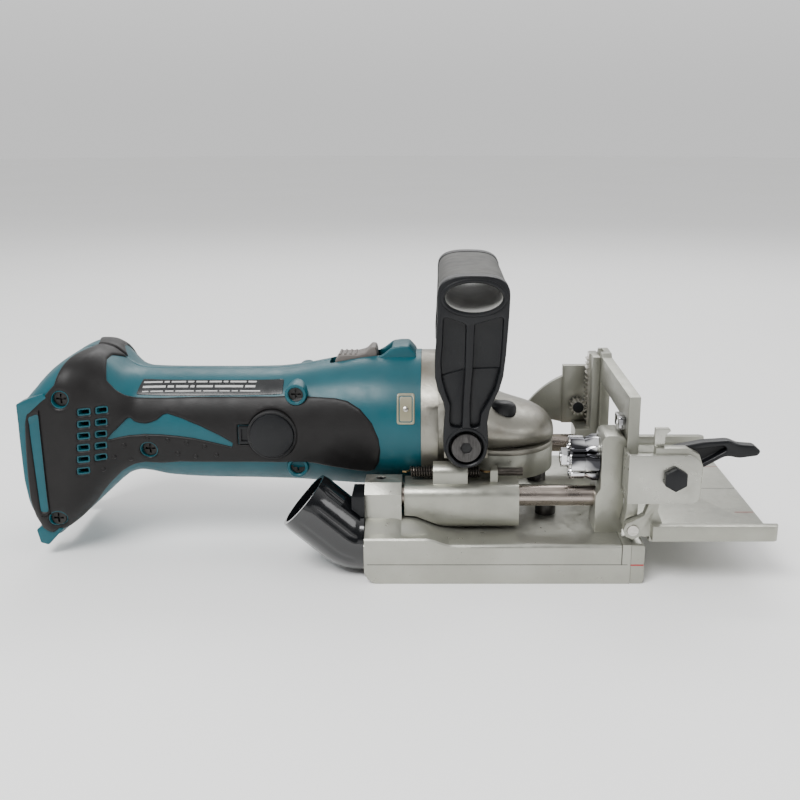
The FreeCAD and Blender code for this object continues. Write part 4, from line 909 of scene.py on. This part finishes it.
def build_label():
    outline = rounded([(-182.6, 80.9, 0.8), (-109.8, 80.9, 0.8), (-109.8, 87, 0.8), (-180.6, 87, 0.8)], 3)
    film = skin("label_film", outline, [], 0.3, LABEL_BLACK, "power_unit", edge=0.3, step=1.6, deep=0.5)
    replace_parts(film, "rating_label")
    marks = []
    for z, tall, widths in LABEL_LINES:
        x = -179.6
        for width in widths:
            if x + width > -111.5:
                break
            marks.append((x, x + width, z - tall / 2, z + tall / 2))
            x += width + 1.1
    decal("label_lines", marks, 0.42, LABEL_WHITE, "power_unit")


def build_window():
    outer, inner = rectangle(-53.2, -44.2, 69, 83.7, 1.4, 4), rectangle(-51.9, -45.5, 70.4, 82.3, 1, 4)
    rim = skin("window_rim", outer, [inner], 0.35, BEIGE, None, edge=0.5, deep=0.5)
    pane = skin("window_pane", inner, [], 0.06, BEIGE, None, edge=0.4, deep=0.5)
    profile = [(0, -0.4), (1.3, -0.4), (1.3, 0.15), (1, 0.3), (0, 0.35)]
    stud = lathe("window_stud", profile, "z", (0, 0), None, STEEL, 20)
    p, n, spin = standing(-48.7, 76.5)
    stud.data.transform(Matrix.Translation((p + n * 0.06) * MM) @ spin)
    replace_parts(joined("window", [rim, pane, stud], "power_unit"), "housing_window")


def build_brush_caps():
    profile = [(0, 30.5), (10, 30.5), (10.7, 30.2), (11, 29.4), (11, 20), (0, 20)]
    cap = lathe("cap", profile, "y", CAP_AT, None, BLACK, 64)
    # painted shade: a near-black ring filling the gap between the cap and the cover's hole
    seat = [(11.05, 22), (12.3, 22), (12.3, 28.8), (11.9, 29.1), (11.05, 29.1), (11.05, 22)]
    ring = lathe("cap_gap_shade", seat, "y", CAP_AT, None, PAINTED_SHADE, 64)
    outline = rounded([(-131.6, 57.4, 0.6), (-125, 57.4), (-125, 66.6), (-131.6, 66.6, 0.6)], 3)
    tab = prism("cap_tab", outline, "y", 22, 28.7, None, BLACK, 0.3)
    # the slot cut in the tab takes the near-black painted shade on its walls and floor
    cut(tab, (corners((-130.3, -124), (27.6, 30)), "z", 58.8, 65.2), look=PAINTED_SHADE)
    left = joined("brush_cap_left", [cap, ring, tab], "power_unit")
    mirrored(left, "brush_cap_right", "power_unit")
    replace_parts(left, "brush_caps")


def build_switch():
    """The guard, two rails with an arch in front, and the thumb piece that slides between the rails."""
    nose = [(-52, 102.6, 3), (-47.6, 102.6, 2.4), (-44.4, 99, 2)]
    rail = rounded([
        (-88.4, 88), (-87.4, 92.6, 3), (-78, 93.4, 8), (-66, 95.6, 8), (-60.6, 98.4, 6), (-56, 102, 5), *nose,
        (-42.6, 94, 2), (-42.6, 88)], 5)
    arch = rounded([
        (-56.8, 100.6, 0.6), (-55.6, 102.2, 1), *nose, (-42.6, 93, 1), (-46, 93, 1), (-47.4, 97.4, 2),
        (-50, 100.2, 2)], 5)
    guard = [prism("rail", rail, "y", low, low + 2.6, None, TEAL, 0.9, 3) for low in (-9.8, 7.2)]
    guard.append(prism("arch", arch, "y", -8.6, 8.6, None, TEAL, 0.3))
    joined("switch_guard", guard, "power_unit")
    side = rounded([
        (-85.2, 86), (-85.2, 94.6, 2), (-82.8, 97.4, 2), (-74, 97.6, 5), (-69.6, 98.8, 4),
        (-66.8, 101.6, 1.6), (-64.4, 101.6, 1.4), (-63.7, 98.6, 2), (-63.7, 86)], 5)
    parts = [prism("knob", side, "y", -6.2, 6.2, None, SWITCH_GREY, 0.8, 3)]
    for i in range(4):
        x = -82.6 + 2.6 * i
        parts.append(tube(f"rib_{i}", [(x, -5.2, 97.3), (x, 5.2, 97.3)], 0.75, None, SWITCH_GREY, 10))
    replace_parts(joined("switch_thumb", parts, "switch"), "switch_knob")


# ---- springs, nozzle

SPRING_Y, SPRING_Z = 38, 46.4


def build_springs():
    """Coils from a hook on the base to a hook on the power unit."""
    steps, per_turn = 378, 14
    for side, word in ((-1, "right"), (1, "left")):
        y = side * SPRING_Y
        path = []
        for k in range(steps + 1):
            a = 2 * pi * k / per_turn
            path.append((-46.5 + 34 * k / steps, y + 2.3 * cos(a), SPRING_Z + 2.3 * sin(a)))
        parts = [tube("coil", path, 0.5, None, SPRING, 8)]
        for xs in ((-46.6, -47.4, -48.6, -50.4), (-12.5, -11.6, -10.4, -7.6)):
            hook = [(x, y + reach, SPRING_Z) for x, reach in zip(xs, (2.2, 1, 0, 0))]
            parts.append(tube("hook", hook, 0.5, None, BRONZE, 8))
        whole = joined("spring_coil_" + word, parts, None)
        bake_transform(whole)
        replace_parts(whole, "tension_spring_" + word)


NOZZLE_Y, NOZZLE_Z = -48, 16
NOZZLE_SLOPE = radians(41)
NOZZLE_OUTER, NOZZLE_INNER = 15.5, 13.3
FLUTES, FLUTE_DEPTH = 9, 0.45


def nozzle_path():
    """The middle line (x, z), from the holder round a short bend to the open end."""
    rise = Vector((-cos(NOZZLE_SLOPE), sin(NOZZLE_SLOPE)))
    start, corner = Vector((-70, NOZZLE_Z)), Vector((-75, NOZZLE_Z))
    end = corner + rise * 6
    path = [Vector((-68.05, NOZZLE_Z))]
    for t in (k / 12 for k in range(13)):
        path.append(start * (1 - t) ** 2 + corner * 2 * t * (1 - t) + end * t * t)
    return path + [end + rise * 3 * k for k in range(1, 9)]


def build_nozzle():
    """An elbow tube with shallow flutes and a thinner lip, open at its upper end."""
    path = nozzle_path()
    sides, last = 96, len(path) - 1
    verts = []
    for radius, outside in ((NOZZLE_OUTER, True), (NOZZLE_INNER, False)):
        for i, p in enumerate(path):
            ahead = (path[min(i + 1, last)] - path[max(i - 1, 0)]).normalized()
            for k in range(sides):
                angle = 2 * pi * k / sides
                r = radius
                if outside and 3 < i < last - 1:
                    r -= FLUTE_DEPTH * max(0, cos(FLUTES * angle)) ** 6
                if outside and i == last:
                    r -= 0.5
                up = r * sin(angle)
                verts.append((p.x - ahead.y * up, NOZZLE_Y + r * cos(angle), p.y + ahead.x * up))
    nozzle = piece("nozzle", verts, sleeve_faces(len(path), sides), "base", GLOSS_BLACK, 50)
    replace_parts(nozzle, "dust_nozzle")


# ---- bridge handle

# (x, z) of the middle of the bar and of the bolts that hold the legs
BAR_AT = (-16.6, 134)
LEG_BOLT = (-19.6, 62.2)


def build_handle():
    """The legs: two sunk panels each, a rim round the bar's open end and one round the bolt."""
    crown = [p for p in squircle(BAR_AT, 16.6, 10, 2.9, 64) if p[1] >= BAR_AT[1]]
    down_the_rear = [
        (-33.3, 128), (-33.5, 122), (-34, 112), (-34.5, 104), (-34.4, 96.4), (-33, 90), (-30.6, 84.6),
        (-29.6, 80), (-30, 76), (-30.4, 70), (-30.6, 65), (-30.2, 60.6), (-28.6, 56.8), (-25.8, 53.9),
        (-22, 52.3)]
    up_the_front = [
        (-18.2, 52.2), (-14.4, 53.7), (-11.4, 56.4), (-9.7, 60), (-9.2, 64), (-9.4, 69), (-9.7, 75),
        (-8.8, 80.4), (-6.6, 85.8), (-4.2, 91), (-2.6, 97), (-1.5, 107), (-0.6, 120.5), (-0.2, 128)]
    rear = rounded([
        (-30.6, 125.4, 1.5), (-31, 112, 8), (-31.7, 104, 8), (-31.3, 96, 8), (-29.6, 89.4, 6), (-27.2, 83, 6),
        (-27.6, 76, 6), (-27.3, 72.6, 2), (-21.6, 71.8, 1.2), (-21.2, 84, 10), (-20.4, 100, 10),
        (-20, 121.6, 1.2)], 4)
    front = rounded([
        (-16.2, 121.6, 1.2), (-2.8, 125.4, 1.5), (-3.3, 112, 8), (-4.2, 100, 8), (-6.4, 91, 6),
        (-9.6, 84.6, 6), (-12.8, 79, 4), (-13.4, 72.6, 2), (-17.8, 71.8, 1.2), (-18, 84, 10),
        (-16.9, 100, 10)], 4)
    leg = prism("leg", crown + down_the_rear + up_the_front, "y", -49.2, -40, None, BLACK)
    cut(leg,
        (squircle(BAR_AT, 13.2, 6.8, 2), "y", -60, -30),
        (rear, "y", -60, -45.6),
        (front, "y", -60, -45.6),
        (disc(LEG_BOLT, 8.2, 40), "y", -60, -45.4),
        (disc(LEG_BOLT, 4.1, 24), "y", -60, -30))
    bevel(leg, 0.7, 3)
    parts = [leg]
    # the floor of each panel steps outwards below the fold
    for panel in (rear, front):
        low = [p for p in panel if p[1] < 101]
        parts.append(prism("step", low, "y", -46.6, -45, None, BLACK, 0.5))
    turns = [radians(a) for a in range(0, 361, 6)]
    rim = [(BAR_AT[0] + 14.5 * cos(a), -49, BAR_AT[1] + 8 * sin(a)) for a in turns]
    parts.append(tube("oval_rim", rim, 1, None, BLACK, 10, False))
    seat = [(8.3, -48.8), (8.3, -49.5), (8.8, -50), (9.6, -49.9), (10, -49.3), (10, -48.8), (8.3, -48.8)]
    parts.append(lathe("bolt_rim", seat, "y", LEG_BOLT, None, BLACK, 56))
    # painted shade: the bolt's hex socket as a near-black patch
    parts.append(prism("socket", disc(LEG_BOLT, 2.85, 6), "y", -48.9, -47, None, PAINTED_SHADE))
    near = joined("handle_leg_right", parts, "power_unit")
    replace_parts(near, "d_handle")
    mirrored(near, "handle_leg_left", "power_unit")


def build_handle_bar():
    """The hollow bar between the legs, dusty outside and pale inside."""
    sides = 72
    ys = [-48.8, -47, -42, -38, -20, 0, 20, 38, 42, 47, 48.8]
    verts = []
    for loop in (squircle(BAR_AT, 16.2, 9.6, 2.9, sides), squircle(BAR_AT, 13.1, 6.7, 2, sides)):
        for y in ys:
            verts += [(a, y, b) for a, b in loop]
    bar = piece("handle_bar", verts, sleeve_faces(len(ys), sides), "power_unit", DUSTY, 50)
    bar.data.materials.append(PALE_INSIDE)
    for face in bar.data.polygons:
        if min(face.vertices) >= sides * len(ys):
            face.material_index = 1


# ---- lever, lock button, bracket

# (x, z) of the clamp bolt, on which the lever turns
CLAMP_AT = (75.9, 53.5)


def build_lever():
    outline = rounded([
        (69.9, 48, 3), (75.9, 46, 6), (82.3, 49, 4), (88.5, 54.6, 8), (101, 61.6, 6), (107, 60.4, 8),
        (115.6, 61.6, 2), (117, 63.8, 1.2), (114, 66.4, 3), (106.4, 67, 8), (102, 69, 8), (90, 68.2, 14),
        (76, 65.4, 10), (70.6, 61, 5), (69, 54, 5)], 6)
    arm = prism("lever_handle", outline, "y", -59.3, -53, None, BLACK)
    pocket = rounded([
        (85.4, 64.4, 1.2), (99.4, 66.4, 1.2), (101.6, 64.6, 1), (94, 60.2, 3), (88.2, 57, 1.4)], 4)
    cut(arm, (pocket, "y", -66, -55.4), (disc(CLAMP_AT, 3.15), "y", -66, -40))
    bevel(arm, 0.9, 3)
    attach(arm, "lever")
    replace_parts(arm, "angle_lever")


def build_lock_button():
    """The pin, and an oval head that sits a little behind the pin's axis."""
    profile = [
        (0, 58.4), (2.2, 58.4), (2.2, 66.4), (6.3, 66.6), (6.9, 70), (7.1, 72.4), (6.6, 74.2), (5.2, 75.4),
        (3, 76), (0, 76.2)]
    button = lathe("lock_button", profile, "z", (0, 0), "shaft_lock", BLACK)
    for vert in button.data.vertices:
        if vert.co.z > 66.5 * MM:
            vert.co.x = 1.08 * vert.co.x - 1.2 * MM
            vert.co.y *= 0.86
        vert.co.y -= 16 * MM
    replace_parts(button, "shaft_lock_button")


def build_bracket():
    plate = rounded([(54.5, 40.6, 0.7), (87.8, 40.6, 4), (88.2, 64.4, 7), (54.5, 64.4, 0.7)], 8)
    fold = [(54.62, -66), (55.8, -66), (55.8, -51.3), (54.62, -51.3)]
    sheet = [prism("bracket_plate", plate, "y", -66.6, -64.35, None, PLATE, 0.3),
             prism("bracket_hook", fold, "z", 41.5, 63.5, None, PLATE, 0.3)]
    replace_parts(joined("bracket_sheet", sheet, "guide"), "clamp_bracket")
    turns = [pi * k / 3 for k in range(6)]
    hexagon = [(CLAMP_AT[0] + 5.77 * sin(a), CLAMP_AT[1] + 5.77 * cos(a)) for a in turns]
    head = prism("clamp_head", hexagon, "y", -70.2, -66.65, None, BLACK, 0.45, 3)
    profile = [(0, -66.7), (3, -66.7), (3, -52.9), (0, -52.9)]
    shank = lathe("clamp_shank", profile, "y", CLAMP_AT, None, DARK_STEEL, 28)
    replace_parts(joined("clamp_screw", [head, shank], "guide"), "clamp_bolt")


# ---- base: shoulders, seam, marks

def smooth(t):
    t = min(max(t, 0), 1)
    return t * t * (3 - 2 * t)


# height of the humps along x
HUMP = curve_through([(-51, 27.6), (-44, 26.7), (-38, 24.3), (-31, 21.3), (-25, 20.2), (-17, 19.4)])


# where the rear bar blocks end and the humps begin
BLOCK_END = -50.5


def shoulder_height(x, y):
    rim = 19.6 + 3.2 * smooth((-26 - x) / 13)
    if x < BLOCK_END - 0.05:
        return rim + (28 - rim) * min(max((64.6 - y) / 11.4, 0), 1)
    return rim + (max(HUMP(x), 19.4) - rim) * smooth((63 - y) / 12)


def shoulder_patch(name, xs, ys):
    """A closed patch on the base's right side; its outermost row turns down over the edge."""
    verts, faces, n = [], [], len(ys)
    for x in xs:
        for y in ys:
            verts.append((x, -min(y, 66.02), shoulder_height(x, y) - (0.8 if y > 66 else 0)))
    under = len(verts)
    verts += [(v[0], v[1], 17.4) for v in verts]
    for i in range(len(xs) - 1):
        for k in range(n - 1):
            a = i * n + k
            faces.append((a, a + 1, a + n + 1, a + n))
            faces.append((under + a, under + a + n, under + a + n + 1, under + a + 1))
    rim = ([i * n for i in range(len(xs))] + [(len(xs) - 1) * n + k for k in range(1, n)]
           + [i * n + n - 1 for i in range(len(xs) - 2, -1, -1)] + [k for k in range(n - 2, 0, -1)])
    for a, b in zip(rim, rim[1:] + rim[:1]):
        faces.append((a, b, under + b, under + a))
    return piece(name, verts, faces, None, SOLE, 30)


def build_shoulders():
    beside_block = shoulder_patch("shoulder_block", [-67.7, -64, -59, -54, BLOCK_END],
                                  [66.4, 65.3, 64.6, 60, 56, 53.2, 52.6])
    hump = shoulder_patch("shoulder_hump", [BLOCK_END + 1.1 * i for i in range(31)],
                          [66.4, 65.3] + [64.6 - 1.05 * i for i in range(31)])
    right = joined("base_shoulder_right", [beside_block, hump], "base")
    mirrored(right, "base_shoulder_left", "base")


def mark(name, x, y, z, body, look):
    """A thin strip: painted shade or a painted mark."""
    block(name, x, y, z, body, look, 0.04, 1)


def build_marks():
    """The seam of the sole plate as a line of painted shade, the kerf marks beside the blade, and the marks
    on the guide.
    """
    for side, word in ((-1, "right"), (1, "left")):
        face = sorted((side * 65.9, side * 66.06))
        # painted shade: a near-black line standing in for the shadow in the seam's groove
        mark("seam_" + word, (-66.6, 56.4), face, (9.68, 9.92), "base", PAINTED_SHADE)
        mark("kerf_mark_" + word, (57.8, 64), face, (9.2, 10), "base", MARK_RED)
    for word, y, start, look in (("left", 34.6, 115, MARK_RED), ("middle", 0, 107, MARK_GREY),
                                 ("right", -33.5, 115, MARK_RED)):
        mark("guide_mark_" + word, (start, 124.6), (y - 0.2, y + 0.2), (23.2, 23.38), "guide", look)


def build_clip():
    outline = rounded([(-46.4, 70), (-35, 70), (-35, 76.4, 1.2), (-46.4, 76.4, 1.2)], 4)
    prism("fence_clip", outline, "x", 52.6, 56.2, "fence", CHROME, 0.5)


# ---- solids shown as they are, with eased edges

# body, then each of its nodes with the width of the easing
EASED = {
    "base": {"base_casting": 0.7, "blade_cover": 0.5, "front_plate": 0.6, "fence_posts": 0.7,
             "nozzle_holder": 0.6, "base_screws": 0.35, "turret_axle": 0.3},
    "turret": {"depth_turret": 0.3},
    "power_unit": {"bearing_box": 0.6, "gear_housing": 0.6, "handle_bolts": 0.4},
    "fence": {"fence_slide": 0.6, "angle_sector": 0.5},
    "height_gear": {"height_knob": 0.4},
    "guide": {"angle_guide": 0.45, "angle_pointer": 0.3},
}


def ease_solids():
    for body, nodes in EASED.items():
        for node, width in nodes.items():
            soften(node, width, body)


# ---- floor, end

def build_floor():
    shader = Shader("floor", 0.6)
    tint = shader.ramp(shader.noise(3, 2), 0.3, 0.7)
    shader.feed("Base Color", shader.mix(tint, (0.92, 0.92, 0.91), (0.94, 0.94, 0.935)))
    shader.bump(shader.noise(500, 2), 0.02)
    sides = 48
    verts = [(x, y, -0.05) for radius in (0.0001, 6000) for x, y in disc((0, 0), radius, sides)]
    faces = ring_faces(2, sides) + [tuple(range(sides - 1, -1, -1))]
    piece("floor", verts, faces, None, shader.material)


for build in (
        build_cover, build_foot_parts, build_bosses, build_label, build_window, build_brush_caps,
        build_switch, build_springs, build_nozzle, build_handle, build_handle_bar, build_lever,
        build_lock_button, build_bracket, build_shoulders, build_marks, build_clip, ease_solids, build_floor):
    build()
